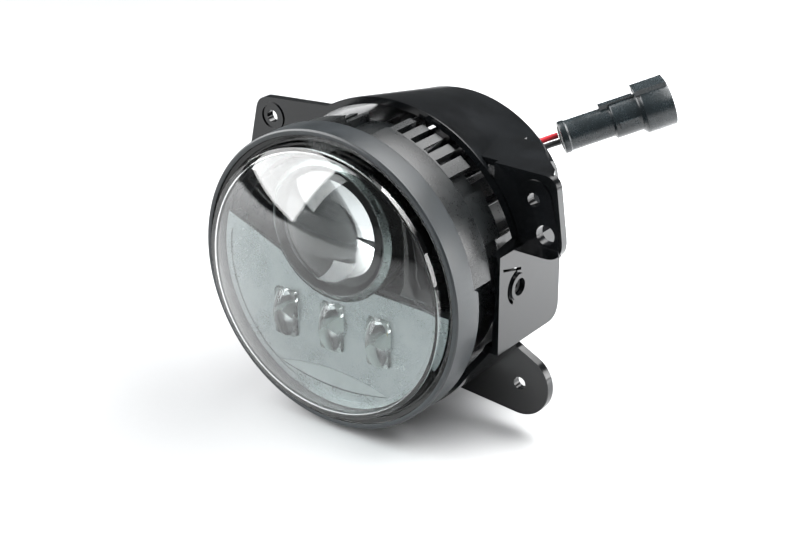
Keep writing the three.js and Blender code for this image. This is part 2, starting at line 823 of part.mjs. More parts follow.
function makeRearCover() {
  const sealInner = driverBayRadius + runGap;
  const sealFront = sinkEnd + seatGap;
  const sealOutline = [
    [sealInner, sealFront],
    [sealInner + coverSealWidth, sealFront],
    [sealInner + coverSealWidth, sealFront + coverSealThickness],
    [sealInner, sealFront + coverSealThickness],
  ];
  piece(head, "cover_seal", turned(sealOutline, 40), finishes.orangeSilicone);

  let cover = solid(bar(coverRadius, coverFront, coverBack, 0, 0, roundFaces));
  for (const [x, z] of coverScrewPlaces()) {
    const hole = bar(coverScrewRadius + seatGap, coverFront - 1, coverBack + 1, x, z, tinyFaces);
    cover = cover.subtract(solid(hole));
  }
  const glandNeck = glandTipRadius + 0.4;
  cover = cover
    .subtract(solid(bar(glandNeck + seatGap, coverFront - 1, coverBack + 1, glandX, glandZ)))
    .subtract(solid(bar(ventRadius - 1 + seatGap, coverFront - 1, coverBack + 1, ventX, ventZ)));
  piece(head, "rear_cover", shell(cover), finishes.blackCast);

  coverScrewPlaces().forEach(([x, z], i) => {
    const head0 = coverBack + seatGap;
    const outline = [
      [0, coverBack - coverScrewLength + seatGap],
      [coverScrewRadius, coverBack - coverScrewLength + seatGap],
      [coverScrewRadius, head0],
      [coverScrewHeadRadius, head0],
      [coverScrewHeadRadius * 0.8, head0 + coverScrewHeadHeight],
      [0, head0 + coverScrewHeadHeight],
    ];
    const screw = turned(outline, tinyFaces).translate(x, 0, z);
    piece(head, `cover_screw_${i + 1}`, screw, finishes.steel);
  });

  const glandBaseRadius = glandTipRadius + glandShoulder;
  const glandOutline = [
    [0, coverFront - 2],
    [glandNeck, coverFront - 2],
    [glandNeck, outletFace],
    [glandBaseRadius, outletFace],
    [glandBaseRadius, outletFace + 2],
    [glandBaseRadius - 0.8, outletFace + 2.6],
    [glandTipRadius, glandEnd],
    [0, glandEnd],
  ];
  const gland = turned(glandOutline, smallFaces).translate(glandX, 0, glandZ);
  piece(head, "cable_gland", gland, finishes.softBlack);

  const ventOutline = [
    [0, coverFront - 1.5],
    [ventRadius - 1, coverFront - 1.5],
    [ventRadius - 1, outletFace],
    [ventRadius, outletFace],
    [ventRadius, outletFace + ventHeight],
    [0, outletFace + ventHeight],
  ];
  piece(head, "breather_vent", turned(ventOutline, smallFaces).translate(ventX, 0, ventZ), finishes.softBlack);
}

// Bracket

function cupBody() {
  const round = cupEnd - cupShoulder;
  const corner = [0, 1, 2, 3, 4].map((i) => {
    const angle = (i * Math.PI) / 8;
    return [cupRearRadius - round * (1 - Math.cos(angle)), cupShoulder + round * Math.sin(angle)];
  });
  return solid(
    turned([[0, cupRimBottom], [cupRadius, cupRimBottom], [cupRadius, cupRimTop + 1], ...corner, [0, cupEnd]]),
  );
}

function cupHollow() {
  const back = cupEnd - cupWall;
  return solid(
    turned([
      [0, cupRimBottom - 1],
      [cupInner, cupRimBottom - 1],
      [cupInner, cupRimTop + 1],
      [cupRearRadius - cupWall, cupShoulder],
      [cupRearRadius - cupWall - 3, back],
      [0, back],
    ]),
  );
}

function cheekOutline(inset) {
  return rounded([
    [cheekFront - 6, cheekBottom + inset],
    [cheekRear - inset, cheekBottom + inset, cheekCorner - inset],
    [cheekRear - inset, cheekTop - inset],
    [cheekFront - 6, cheekTop - inset],
  ]);
}

function earPlace(angle) {
  const turn = THREE.MathUtils.degToRad(angle);
  return [earCircle * Math.cos(turn), earCircle * Math.sin(turn)];
}

// Each ear's outline follows from where its holes are.
function rightEar() {
  const [x, z] = earPlace(smallHoleAngle);
  const [lowX, lowZ] = earPlace(largeHoleAngle);
  const root = cheekX - earRootInset;
  return rounded([
    [root, z + rightEarTop],
    [x + 7.8, z + rightEarTop, 5],
    [lowX + 7, lowZ - 8.6, 7],
    [root, lowZ - 8.6],
  ]);
}

function leftEar() {
  const [x, z] = earPlace(leftHoleAngle);
  return rounded([
    [x + 26.9, z + leftEarTop + 1.2],
    [x - 6.3, z + leftEarTop - 1.8, 6],
    [x - 12.3, z - 21.9, 6],
    [earRootInset - cheekX, z - 21.9],
  ]);
}

function lowerEar() {
  const [x, z] = earPlace(lowerHoleAngle);
  const outline = new THREE.Shape();
  outline.moveTo(x - 7.9, z + 16.5);
  outline.lineTo(x - 27.9, z - 8.9);
  outline.absarc(x, z, lowerEarRadius, -1.62, 0.95, false);
  outline.closePath();
  return outline;
}

function earHoles() {
  const places = [
    [leftHoleAngle, smallHoleRadius],
    [smallHoleAngle, smallHoleRadius],
    [largeHoleAngle, largeHoleRadius],
    [lowerHoleAngle, smallHoleRadius],
  ];
  return places.map(([angle, radius]) => {
    const [x, z] = earPlace(angle);
    return solid(bar(radius, earFront - 1, earFront + earThickness + 1, x, z));
  });
}

// The web that ties the right ear's top edge back to the cup.
function earRoof() {
  const [x, z] = earPlace(smallHoleAngle);
  const rear = earFront + earThickness;
  const inner = cupRadius / 2;
  const outer = x + earRoofReach;
  const outline = new THREE.Shape();
  outline.moveTo(inner, rear - 1);
  outline.lineTo(outer, rear - 1);
  outline.lineTo(outer - 2, rear + 3);
  outline.lineTo(cheekX - earRootInset, rear + earRoofDepth);
  outline.lineTo(inner, rear + earRoofDepth);
  outline.closePath();
  const roof = new THREE.ExtrudeGeometry(outline, { depth: earRoofThickness, bevelEnabled: false });
  return solid(roof.translate(0, 0, z + rightEarTop - earRoofThickness));
}

function rimCut() {
  const out = 1.3 * faceRadius;
  const shape = new THREE.Shape();
  shape.moveTo(cupRimBottom - 5, -out);
  shape.lineTo(cupRimBottom - 5, out);
  shape.lineTo(cupRimTop, out);
  shape.lineTo(cupRimTop, cheekTop + 1.5);
  shape.lineTo(cheekFront, cheekTop);
  shape.lineTo(cheekFront, cheekBottom);
  shape.lineTo(cupRimBottom, cheekBottom - 6);
  shape.lineTo(cupRimBottom, -out);
  shape.closePath();
  return solid(sidePlate(shape, -out, out));
}

function pivotSlits(side) {
  const outer = new THREE.Shape();
  const mid = pivotHoleRadius + 2.8;
  const width = 0.9;
  const from = 1.7;
  const to = 4.2;
  outer.absarc(pivotY, 0, mid + width / 2, from, to, false);
  outer.absarc(pivotY, 0, mid - width / 2, to, from, true);
  outer.closePath();
  const across = rounded([
    [cheekFront + 2, mid + 3.4],
    [cheekFront + 2, mid + 2.4],
    [pivotY + 1.5, mid - 0.4],
    [pivotY + 1.5, mid + 0.6],
  ]);
  const x0 = side > 0 ? cheekX - cupWall - 1 : -cheekX - 1;
  const x1 = x0 + cupWall + 2;
  return solid(sidePlate(outer, x0, x1, 8)).add(solid(sidePlate(across, x0, x1)));
}

function makeBracket() {
  const out = 1.3 * faceRadius;
  let body = cupBody();
  for (const side of both) {
    const [x0, x1] = side > 0 ? [cheekX, out] : [-out, -cheekX];
    body = body.subtract(solid(block([x0, x1], [0, cupEnd], [-out, out])));
    const cheek = sidePlate(cheekOutline(0), ...ordered(side * (midRadius - pivotPinDepth), side * cheekX));
    body = body.add(solid(cheek));
    const bossEnd = side * (cheekX + pivotBossHeight);
    const bossStart = side * (cheekX - 1);
    const boss = crossBar(pivotHoleRadius + pivotBossWall, ...ordered(bossStart, bossEnd), pivotY, 0);
    body = body.add(solid(boss));
  }
  for (const ear of [rightEar(), leftEar(), lowerEar()]) {
    body = body.add(solid(plate(ear, earFront, earFront + earThickness, 8)));
  }
  const towerHalfWidth = screwHeadRadius + towerMargin;
  const towerTop = towerMargin - rearOpeningRadius;
  const towerFront = cupEnd - towerThickness;
  const tower = block([-towerHalfWidth, towerHalfWidth], [towerFront, cupEnd], [padBottom, towerTop]);
  body = body
    .add(earRoof())
    .add(solid(block([-padHalfWidth, padHalfWidth], [padFront, cupEnd], [padBottom, -cupRearRadius + 1])));
  body = body
    .subtract(cupHollow())
    .subtract(solid(bar(rearOpeningRadius, cupShoulder - 5, cupEnd + 1, 0, 0, roundFaces)));
  for (const side of both) {
    const inner = cheekX - cupWall;
    const hollow = sidePlate(cheekOutline(cupWall), ...ordered(side * (inner / 2), side * inner));
    const pinHole = crossBar(pivotHoleRadius, ...ordered(side * (inner - 1), side * out), pivotY, 0);
    const flat = block(ordered(side * cupFlat, side * out), [cheekRear, cupEnd + 1], [-out, out]);
    body = body.subtract(solid(hollow)).subtract(solid(pinHole));
    body = body.subtract(pivotSlits(side)).subtract(solid(flat));
  }
  body = body
    .subtract(rimCut())
    .add(solid(tower))
    .subtract(solid(bar(clipRadius + runGap, padFront - 1, cupEnd - towerThickness, 0, screwZ)))
    .subtract(solid(bar(screwRadius + runGap, cupShoulder, cupEnd + 1, 0, screwZ)));
  for (const hole of earHoles()) body = body.subtract(hole);
  piece(bracket, "mounting_bracket", shell(body), finishes.glossBlack);
}

// Aiming screw, its nut in the housing arm and its clip

function makeAiming() {
  const headFront = cupEnd + seatGap;
  const outline = [
    [0, screwFront],
    [screwRadius - 0.6, screwFront],
    [screwRadius, screwFront + 1],
    [screwRadius, headFront],
    [screwHeadRadius, headFront],
    [screwHeadRadius, headFront + screwHeadLength],
    [0, headFront + screwHeadLength],
  ];
  const screw = solid(turned(outline, smallFaces));
  const headEnd = headFront + screwHeadLength;
  const hexagon = new THREE.CylinderGeometry(socketRadius, socketRadius, 2 * socketDepth, 6);
  const socket = hexagon.translate(0, headEnd, 0);
  const aimingScrew = shell(screw.subtract(solid(socket))).translate(0, 0, screwZ);
  piece(aiming, "aiming_screw", aimingScrew, finishes.steel);

  const clipBack = cupEnd - towerThickness - seatGap;
  const clipOutline = [
    [screwRadius + seatGap, clipBack - clipThickness],
    [clipRadius, clipBack - clipThickness],
    [clipRadius, clipBack],
    [screwRadius + seatGap, clipBack],
  ];
  piece(aiming, "screw_clip", turned(clipOutline, smallFaces).translate(0, 0, screwZ), finishes.steel);

  const nutFront = armFront - seatGap - nutFlangeThickness;
  const nutOutline = [
    [screwRadius + runGap, nutFront],
    [nutRadius + nutFlangeWidth, nutFront],
    [nutRadius + nutFlangeWidth, nutFront + nutFlangeThickness],
    [nutRadius, nutFront + nutFlangeThickness],
    [nutRadius, nutFront + nutLength],
    [screwRadius + runGap, nutFront + nutLength],
  ];
  piece(head, "adjuster_nut", turned(nutOutline, smallFaces).translate(0, 0, screwZ), finishes.nylon);
}

// Leads and plug

// Side 1 is the red lead, -1 the black one. Both leave the gland level with its face.
function leadPoints(side) {
  const reach = side * (leadRadius + leadGap / 2);
  const [aimX, aimY, aimZ] = pairAim;
  return leadRoute.map(([x, y, z], i) => {
    const ahead = i === 0 ? 0 : aimY * reach;
    return new THREE.Vector3(glandX + x + aimX * reach, glandEnd + y + ahead, glandZ + z + aimZ * reach);
  });
}

function makeLead(name, side, material) {
  const path = new THREE.CatmullRomCurve3(leadPoints(side));
  const section = new THREE.Shape();
  const faces = 8;
  for (let i = 0; i < faces; i++) {
    const angle = (2 * Math.PI * i) / faces;
    section[i === 0 ? "moveTo" : "lineTo"](leadRadius * Math.cos(angle), leadRadius * Math.sin(angle));
  }
  section.closePath();
  const tube = new THREE.ExtrudeGeometry(section, { steps: 16, extrudePath: path, bevelEnabled: false });
  piece(pigtail, name, tube, material);
}

function makePlug() {
  const plug = new THREE.Group();
  const [endX, endY, endZ] = leadRoute.at(-1);
  plug.position.set(glandX + endX, glandEnd + endY, glandZ + endZ).addScaledVector(plugAim, 2 * seatGap);
  const up = new THREE.Vector3(0, 0, 1);
  const across = new THREE.Vector3().crossVectors(plugAim, up).normalize();
  const top = new THREE.Vector3().crossVectors(across, plugAim);
  plug.quaternion.setFromRotationMatrix(new THREE.Matrix4().makeBasis(across, plugAim, top));
  pigtail.add(plug);

  const plugMiddleRadius = plugRearRadius + plugMiddleStep;
  const plugMouthRadius = plugMiddleRadius + plugMouthStep;
  const plugSealRadius = plugRearRadius - plugSealWall - seatGap;
  const middleStart = plugRearLength;
  const mouthStart = middleStart + plugMiddleLength;
  const end = mouthStart + plugMouthLength;
  const mouthInner = plugMouthRadius - plugMouthWall;
  const bottom = end - plugMouthDepth;
  const shellOutline = [
    [0, plugSealDepth],
    [plugSealRadius + seatGap, plugSealDepth],
    [plugSealRadius + seatGap, 0],
    [plugRearRadius, 0],
    [plugRearRadius, middleStart],
    [plugMiddleRadius, middleStart],
    [plugMiddleRadius, mouthStart],
    [plugMouthRadius, mouthStart],
    [plugMouthRadius, end],
    [mouthInner, end],
    [mouthInner, mouthStart + 1],
    [plugMiddleRadius - plugMouthWall, mouthStart + 1],
    [plugMiddleRadius - plugMouthWall, bottom],
    [0, bottom],
  ];
  const latch = block(
    [-latchHalfWidth, latchHalfWidth],
    [mouthStart - plugMouthWall, end - runGap],
    [plugMouthRadius - latchHeight, plugMouthRadius + latchHeight],
  );
  const latchHoleZ = plugMouthRadius - seatGap;
  const latchHole = bar(latchHoleRadius, mouthStart - 2, mouthStart + 2, 0, latchHoleZ, tinyFaces);
  let body = solid(turned(shellOutline, 32)).add(solid(latch)).subtract(solid(latchHole));
  const names = { "-1": "plug_pin_left", 1: "plug_pin_right" };
  for (const side of both) {
    const x = side * terminalX;
    const hole = bar(terminalRadius + seatGap, plugSealDepth - 1, end, x, 0, tinyFaces);
    body = body.subtract(solid(hole));
    const pin = bar(terminalRadius, plugSealDepth + seatGap, end - terminalSetback, x, 0, tinyFaces);
    piece(plug, names[side], pin, finishes.brass);
  }
  piece(plug, "plug_shell", shell(body), finishes.charcoal);
  piece(plug, "plug_seal", bar(plugSealRadius, seatGap, plugSealDepth - seatGap), finishes.softBlack);
}

makeBezel();
makeOuterLens();
makeLensGasket();
makeHousing();
makePivotPins();
makeProjector();
makeTrims();
makeBeamOptics();
makeDriver();
makeRearCover();
makeBracket();
makeAiming();
makeLead("red_lead", 1, finishes.redLead);
makeLead("black_lead", -1, finishes.softBlack);
makePlug();

// The light stands on its bracket pad, centred under the light itself without its pigtail.
light.updateMatrixWorld(true);
const own = new THREE.Box3();
for (const part of [head, bracket, aiming]) own.expandByObject(part, true);
const middle = own.getCenter(new THREE.Vector3());
light.position.set(-middle.x, -middle.y, -own.min.z);

export default light;
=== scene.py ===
import bpy, bmesh, math
from mathutils import Matrix, Vector


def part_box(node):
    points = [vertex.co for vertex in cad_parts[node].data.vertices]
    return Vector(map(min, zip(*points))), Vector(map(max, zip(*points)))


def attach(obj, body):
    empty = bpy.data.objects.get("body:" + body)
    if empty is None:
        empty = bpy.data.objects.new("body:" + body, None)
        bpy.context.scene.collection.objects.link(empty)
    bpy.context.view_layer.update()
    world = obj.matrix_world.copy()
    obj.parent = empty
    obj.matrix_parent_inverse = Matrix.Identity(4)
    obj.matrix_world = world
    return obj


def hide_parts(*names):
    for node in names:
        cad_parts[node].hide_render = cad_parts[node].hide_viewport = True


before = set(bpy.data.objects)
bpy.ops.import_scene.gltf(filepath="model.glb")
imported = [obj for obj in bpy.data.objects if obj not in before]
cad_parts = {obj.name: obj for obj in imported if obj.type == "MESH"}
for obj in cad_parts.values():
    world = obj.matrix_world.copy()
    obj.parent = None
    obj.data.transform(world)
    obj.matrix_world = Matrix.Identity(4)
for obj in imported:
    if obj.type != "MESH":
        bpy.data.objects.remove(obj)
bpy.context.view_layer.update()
mm = 0.001


# Everything is drawn in millimetres about the lamp axis, with y = 0 at the front of the bezel.
bezelLow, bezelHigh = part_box("bezel_ring")
lampCentre = Vector(((bezelLow.x + bezelHigh.x) / 2, bezelLow.y, (bezelLow.z + bezelHigh.z) / 2))
lampMatrix = Matrix.Translation(lampCentre) @ Matrix.Scale(mm, 4)


def placed(name, data):
    made = bpy.data.objects.new(name, data)
    bpy.context.scene.collection.objects.link(made)
    return made


# Azimuth 0 is straight ahead of the lamp, and it turns towards +x.
def towards(azimuth, elevation):
    a, e = math.radians(azimuth), math.radians(elevation)
    return Vector((math.sin(a) * math.cos(e), -math.cos(a) * math.cos(e), math.sin(e)))


# Camera
view = {"azimuth": 36.6, "elevation": 24.936, "distance": 589.844, "aim": (29.777, 0, 14.096),
        "lens": 84.6, "sensor": 36, "near": 0.02}
back = towards(view["azimuth"], view["elevation"])
cameraData = bpy.data.cameras.new("camera")
cameraData.lens = view["lens"]
cameraData.sensor_width = view["sensor"]
cameraData.clip_start = view["near"]
camera = placed("camera", cameraData)
camera.location = lampMatrix @ (Vector(view["aim"]) + back * view["distance"])
camera.rotation_euler = back.to_track_quat("Z", "Y").to_euler()
bpy.context.scene.camera = camera


# Materials
def linear(code, alpha=1.0):
    channels = [int(code[i:i + 2], 16) / 255 for i in (1, 3, 5)]
    return (*[c / 12.92 if c <= 0.04045 else ((c + 0.055) / 1.055) ** 2.4 for c in channels], alpha)


def add(tree, kind, settings=None, links=None):
    node = tree.nodes.new(kind)
    for key, value in (settings or {}).items():
        if isinstance(key, int) or key in node.inputs:
            node.inputs[key].default_value = value
        else:
            setattr(node, key, value)
    for key, source in (links or {}).items():
        tree.links.new(source, node.inputs[key])
    return node


def startMaterial(name, settings):
    made = bpy.data.materials.new(name)
    made.use_nodes = True
    tree = made.node_tree
    shader = tree.nodes["Principled BSDF"]
    for key, value in settings.items():
        shader.inputs[key].default_value = value
    place = add(tree, "ShaderNodeTexCoord").outputs["Object"]
    return made, tree, shader, place


# A fine grain sets roughness and bump, and larger patches shift the colour a little.
surface = {"fineShare": 0.55, "patchShare": 0.45, "span": (0.3, 0.7), "strength": 0.5}


def grained(name, look):
    made, tree, shader, place = startMaterial(name, look.get("shader", {}))
    fine = add(tree, "ShaderNodeTexNoise", {"Scale": 1000 / look["grain"], "Detail": 3, "Roughness": 0.6},
               {"Vector": place})
    patch = add(tree, "ShaderNodeTexNoise", {"Scale": 1000 / look["patch"], "Detail": 4, "Roughness": 0.55},
                {"Vector": place})
    share = add(tree, "ShaderNodeMath", {"operation": "MULTIPLY", 1: surface["patchShare"]},
                {0: patch.outputs["Fac"]})
    both = add(tree, "ShaderNodeMath", {"operation": "MULTIPLY_ADD", 1: surface["fineShare"]},
               {0: fine.outputs["Fac"], 2: share.outputs[0]})
    ramp = add(tree, "ShaderNodeValToRGB", {}, {"Fac": patch.outputs["Fac"]})
    stops = ramp.color_ramp.elements
    for stop, position, key in zip(stops, surface["span"], ("colour", "colourTo")):
        stop.position = position
        stop.color = linear(look[key])
    tree.links.new(ramp.outputs["Color"], shader.inputs["Base Color"])
    start, end = surface["span"]
    low, high = look["roughness"]
    rough = add(tree, "ShaderNodeMapRange", {"From Min": start, "From Max": end, "To Min": low, "To Max": high},
                {"Value": both.outputs[0]})
    tree.links.new(rough.outputs["Result"], shader.inputs["Roughness"])
    bump = add(tree, "ShaderNodeBump", {"Strength": look.get("strength", surface["strength"]),
                                        "Distance": look["depth"] * mm}, {"Height": fine.outputs["Fac"]})
    tree.links.new(bump.outputs["Normal"], shader.inputs["Normal"])
    return made


# Clear mouldings and glass: faint moulding waves, and lamps shine straight through.
clearing = {"span": (0.45, 0.75), "strength": 0.2}


def clear(name, look):
    made, tree, shader, place = startMaterial(name, {
        "Transmission Weight": 1.0, "IOR": look["ior"], "Base Color": linear(look["colour"])})
    wave = add(tree, "ShaderNodeTexNoise", {"Scale": 1000 / look["wave"], "Detail": 1}, {"Vector": place})
    dust = add(tree, "ShaderNodeTexNoise", {"Scale": 1000 / look["dust"], "Detail": 2}, {"Vector": place})
    start, end = clearing["span"]
    low, high = look["roughness"]
    rough = add(tree, "ShaderNodeMapRange", {"From Min": start, "From Max": end, "To Min": low, "To Max": high},
                {"Value": dust.outputs["Fac"]})
    tree.links.new(rough.outputs["Result"], shader.inputs["Roughness"])
    bump = add(tree, "ShaderNodeBump", {"Strength": clearing["strength"], "Distance": look["depth"] * mm},
               {"Height": wave.outputs["Fac"]})
    tree.links.new(bump.outputs["Normal"], shader.inputs["Normal"])
    path = add(tree, "ShaderNodeLightPath")
    through = add(tree, "ShaderNodeBsdfTransparent", {"Color": linear(look["passes"])})
    mix = add(tree, "ShaderNodeMixShader", {},
              {0: path.outputs["Is Shadow Ray"], 1: shader.outputs[0], 2: through.outputs[0]})
    tree.links.new(mix.outputs[0], tree.nodes["Material Output"].inputs["Surface"])
    return made


# Grain, patch, wave and dust are widths in millimetres, and depth is how high the grain stands.
metal = {"Metallic": 1.0}
solidLooks = {
    # die-cast aluminium with a satin black powder coat: a soft sheen over a fine grain
    "bezelPaint": {"colour": "#24282a", "colourTo": "#2e3235", "grain": 0.35, "patch": 9,
                   "roughness": (0.3, 0.46), "depth": 0.03, "strength": 0.6},
    "housingPaint": {"colour": "#0f1112", "colourTo": "#191c1d", "grain": 0.5, "patch": 7,
                     "roughness": (0.22, 0.38), "depth": 0.05},
    # glossy injection moulded nylon: deep black with sharp reflections
    "bracketBlack": {"colour": "#08090a", "colourTo": "#101214", "grain": 0.9, "patch": 14,
                     "roughness": (0.09, 0.2), "depth": 0.012, "strength": 0.4, "shader": {"IOR": 1.56}},
    "trimBlack": {"colour": "#0c0d0d", "colourTo": "#171615", "grain": 0.6, "patch": 6,
                  "roughness": (0.12, 0.26), "depth": 0.01},
    # vacuum aluminised mouldings: the mask is satin, and the reflector is bright
    "maskSilver": {"colour": "#7f8888", "colourTo": "#8a9292", "grain": 0.4, "patch": 10,
                   "roughness": (0.24, 0.34), "depth": 0.004, "shader": metal},
    "reflectorChrome": {"colour": "#a9adae", "colourTo": "#b6baba", "grain": 2, "patch": 8,
                        "roughness": (0.04, 0.1), "depth": 0.01, "shader": metal},
    "holderGrey": {"colour": "#6f7876", "colourTo": "#7b8482", "grain": 0.4, "patch": 5,
                   "roughness": (0.22, 0.34), "depth": 0.01, "shader": metal},
    # moulded silicone and rubber: dull, with hardly a highlight
    "sealBlack": {"colour": "#0d0e0f", "colourTo": "#15171a", "grain": 0.25, "patch": 4,
                  "roughness": (0.55, 0.75), "depth": 0.02},
    "sealOrange": {"colour": "#a04a26", "colourTo": "#b4552c", "grain": 0.3, "patch": 4,
                   "roughness": (0.5, 0.65), "depth": 0.02},
    # black oxide steel of the pins, and the sleeve of the capacitor
    "pinBlack": {"colour": "#101112", "colourTo": "#1a1c1d", "grain": 0.4, "patch": 3,
                 "roughness": (0.3, 0.45), "depth": 0.01},
    # zinc plated steel and tin plated brass: pale metal with a mottled gloss
    "zincSteel": {"colour": "#8b8f92", "colourTo": "#a2a5a6", "grain": 0.3, "patch": 2.5,
                  "roughness": (0.22, 0.42), "depth": 0.01, "shader": metal},
    "tinPlate": {"colour": "#b3b1a8", "colourTo": "#c6c4bb", "grain": 0.2, "patch": 1.5,
                 "roughness": (0.2, 0.35), "depth": 0.005, "shader": metal},
    # uncoloured nylon: milky, and a little light passes into it
    "nylonNatural": {"colour": "#d0cfc4", "colourTo": "#dcdbd2", "grain": 0.4, "patch": 3,
                     "roughness": (0.35, 0.5), "depth": 0.01,
                     "shader": {"Subsurface Weight": 0.2, "Subsurface Scale": 0.001}},
    # glass filled nylon of the plug, and soft PVC on the leads
    "plugGrey": {"colour": "#14191b", "colourTo": "#1d2427", "grain": 0.5, "patch": 5,
                 "roughness": (0.2, 0.32), "depth": 0.015},
    "leadRed": {"colour": "#b01c28", "colourTo": "#c9323d", "grain": 0.6, "patch": 4,
                "roughness": (0.3, 0.45), "depth": 0.02},
    "leadBlack": {"colour": "#0f1011", "colourTo": "#1b1d1f", "grain": 0.6, "patch": 4,
                  "roughness": (0.3, 0.45), "depth": 0.02},
    # lacquered printed boards, and the silicone phosphor on their chips
    "boardWhite": {"colour": "#dcdeda", "colourTo": "#e8e9e5", "grain": 0.3, "patch": 4,
                   "roughness": (0.3, 0.45), "depth": 0.01},
    "boardGreen": {"colour": "#174a2f", "colourTo": "#1f5f3c", "grain": 0.5, "patch": 3,
                   "roughness": (0.25, 0.4), "depth": 0.02},
    "phosphorAmber": {"colour": "#c47a22", "colourTo": "#dc9a3c", "grain": 0.15, "patch": 1,
                      "roughness": (0.4, 0.5), "depth": 0.01},
    "phosphorYellow": {"colour": "#d8b843", "colourTo": "#e6cc5c", "grain": 0.15, "patch": 1,
                       "roughness": (0.4, 0.5), "depth": 0.01},
    # frosted acrylic: half clear, so the dark behind it shows through
    "guideFrost": {"colour": "#8d9696", "colourTo": "#9aa3a3", "grain": 0.3, "patch": 5,
                   "roughness": (0.25, 0.4), "depth": 0.01,
                   "shader": {"Transmission Weight": 0.5, "IOR": 1.49}},
}
clearLooks = {
    # hard coated polycarbonate, ground glass, and moulded acrylic that is clouded inside
    "lensClear": {"colour": "#fbfdfd", "passes": "#f4f8f8", "ior": 1.58, "wave": 26, "dust": 1.2,
                  "roughness": (0.0, 0.03), "depth": 0.02},
    "projectorGlass": {"colour": "#fafdfd", "passes": "#eef4f4", "ior": 1.52, "wave": 20, "dust": 0.8,
                       "roughness": (0.0, 0.02), "depth": 0.01},
    "opticClear": {"colour": "#dfe6e5", "passes": "#e9f0f0", "ior": 1.49, "wave": 3, "dust": 0.5,
                   "roughness": (0.1, 0.22), "depth": 0.05},
}
finishes = {name: grained(name, look) for name, look in solidLooks.items()}
finishes.update({name: clear(name, look) for name, look in clearLooks.items()})
print("materials", len(finishes))

# Shapes, in millimetres
join, cut = "UNION", "DIFFERENCE"


# Rounds each corner that has a third value, its radius.
def eased(corners, cuts=4):
    points = []
    for i, corner in enumerate(corners):
        here = Vector(corner[:2])
        radius = corner[2] if len(corner) > 2 else 0
        if not radius:
            points.append(here)
            continue
        into = (Vector(corners[i - 1][:2]) - here).normalized()
        out = (Vector(corners[(i + 1) % len(corners)][:2]) - here).normalized()
        reach = radius / math.tan(into.angle(out) / 2)
        start, end = here + into * reach, here + out * reach
        for j in range(cuts + 1):
            t = j / cuts
            points.append(start * (1 - t) ** 2 + here * 2 * t * (1 - t) + end * t ** 2)
    return points


def closeUp(bm, nearest=1e-4):
    bmesh.ops.remove_doubles(bm, verts=bm.verts, dist=nearest)
    bmesh.ops.dissolve_degenerate(bm, edges=bm.edges, dist=nearest)
    bmesh.ops.recalc_face_normals(bm, faces=bm.faces)
    return bm


def turned(bm, angle, axis="Y"):
    bmesh.ops.rotate(bm, verts=bm.verts, cent=(0, 0, 0), matrix=Matrix.Rotation(angle, 3, axis))
    return bm


# Turns a (radius, y) outline about an axis along y at x, z.
def lathe(outline, steps=96, x=0, z=0):
    bm = bmesh.new()
    ring = [bm.verts.new((x + r, y, z)) for r, y in outline]
    edges = [bm.edges.new(pair) for pair in zip(ring, ring[1:])]
    if outline[0][0] > 0:
        edges.append(bm.edges.new((ring[-1], ring[0])))
    bmesh.ops.spin(bm, geom=ring + edges, cent=(x, 0, z), axis=(0, 1, 0), angle=math.tau, steps=steps,
                   use_merge=True)
    return closeUp(bm)


def drawn(points, along):
    bm = bmesh.new()
    face = bm.faces.new([bm.verts.new(point) for point in points])
    grown = bmesh.ops.extrude_face_region(bm, geom=[face])["geom"]
    bmesh.ops.translate(bm, verts=[v for v in grown if isinstance(v, bmesh.types.BMVert)], vec=along)
    return closeUp(bm)


def plate(outline, y0, y1):
    return drawn([(x, y0, z) for x, z in outline], (0, y1 - y0, 0))


def sidePlate(outline, x0, x1):
    return drawn([(x0, y, z) for y, z in outline], (x1 - x0, 0, 0))


def block(*spans):
    bm = bmesh.new()
    centre = Matrix.Translation([(low + high) / 2 for low, high in spans])
    size = Matrix.Diagonal((*[high - low for low, high in spans], 1))
    bmesh.ops.create_cube(bm, size=1, matrix=centre @ size)
    return bm


def rod(radius, y0, y1, x=0, z=0, steps=32, tip=None):
    bm = bmesh.new()
    alongY = Matrix.Translation((x, (y0 + y1) / 2, z)) @ Matrix.Rotation(math.radians(-90), 4, "X")
    bmesh.ops.create_cone(bm, cap_ends=True, segments=steps, radius1=radius,
                          radius2=radius if tip is None else tip, depth=y1 - y0, matrix=alongY)
    return bm


def crossRod(radius, x0, x1, y, z, steps=32):
    bm = bmesh.new()
    alongX = Matrix.Translation(((x0 + x1) / 2, y, z)) @ Matrix.Rotation(math.radians(90), 4, "Y")
    bmesh.ops.create_cone(bm, cap_ends=True, segments=steps, radius1=radius, radius2=radius,
                          depth=abs(x1 - x0), matrix=alongX)
    return bm


def arc(radius, fromDeg, toDeg, cuts, x=0, z=0):
    angles = [math.radians(fromDeg + (toDeg - fromDeg) * i / cuts) for i in range(cuts + 1)]
    return [(x + radius * math.cos(a), z + radius * math.sin(a)) for a in angles]


def ringSlice(inner, outer, y0, y1, fromDeg, toDeg):
    cuts = max(3, int((toDeg - fromDeg) / 2.5))
    return plate(arc(outer, fromDeg, toDeg, cuts) + arc(inner, toDeg, fromDeg, cuts), y0, y1)


# Points of a round cap from its pole to a last radius, with its pole at y = middle - radius.
def cap(radius, last, middle, rings):
    angles = [math.asin(last / radius) * i / rings for i in range(rings + 1)]
    return [(radius * math.sin(a), middle - radius * math.cos(a)) for a in angles]


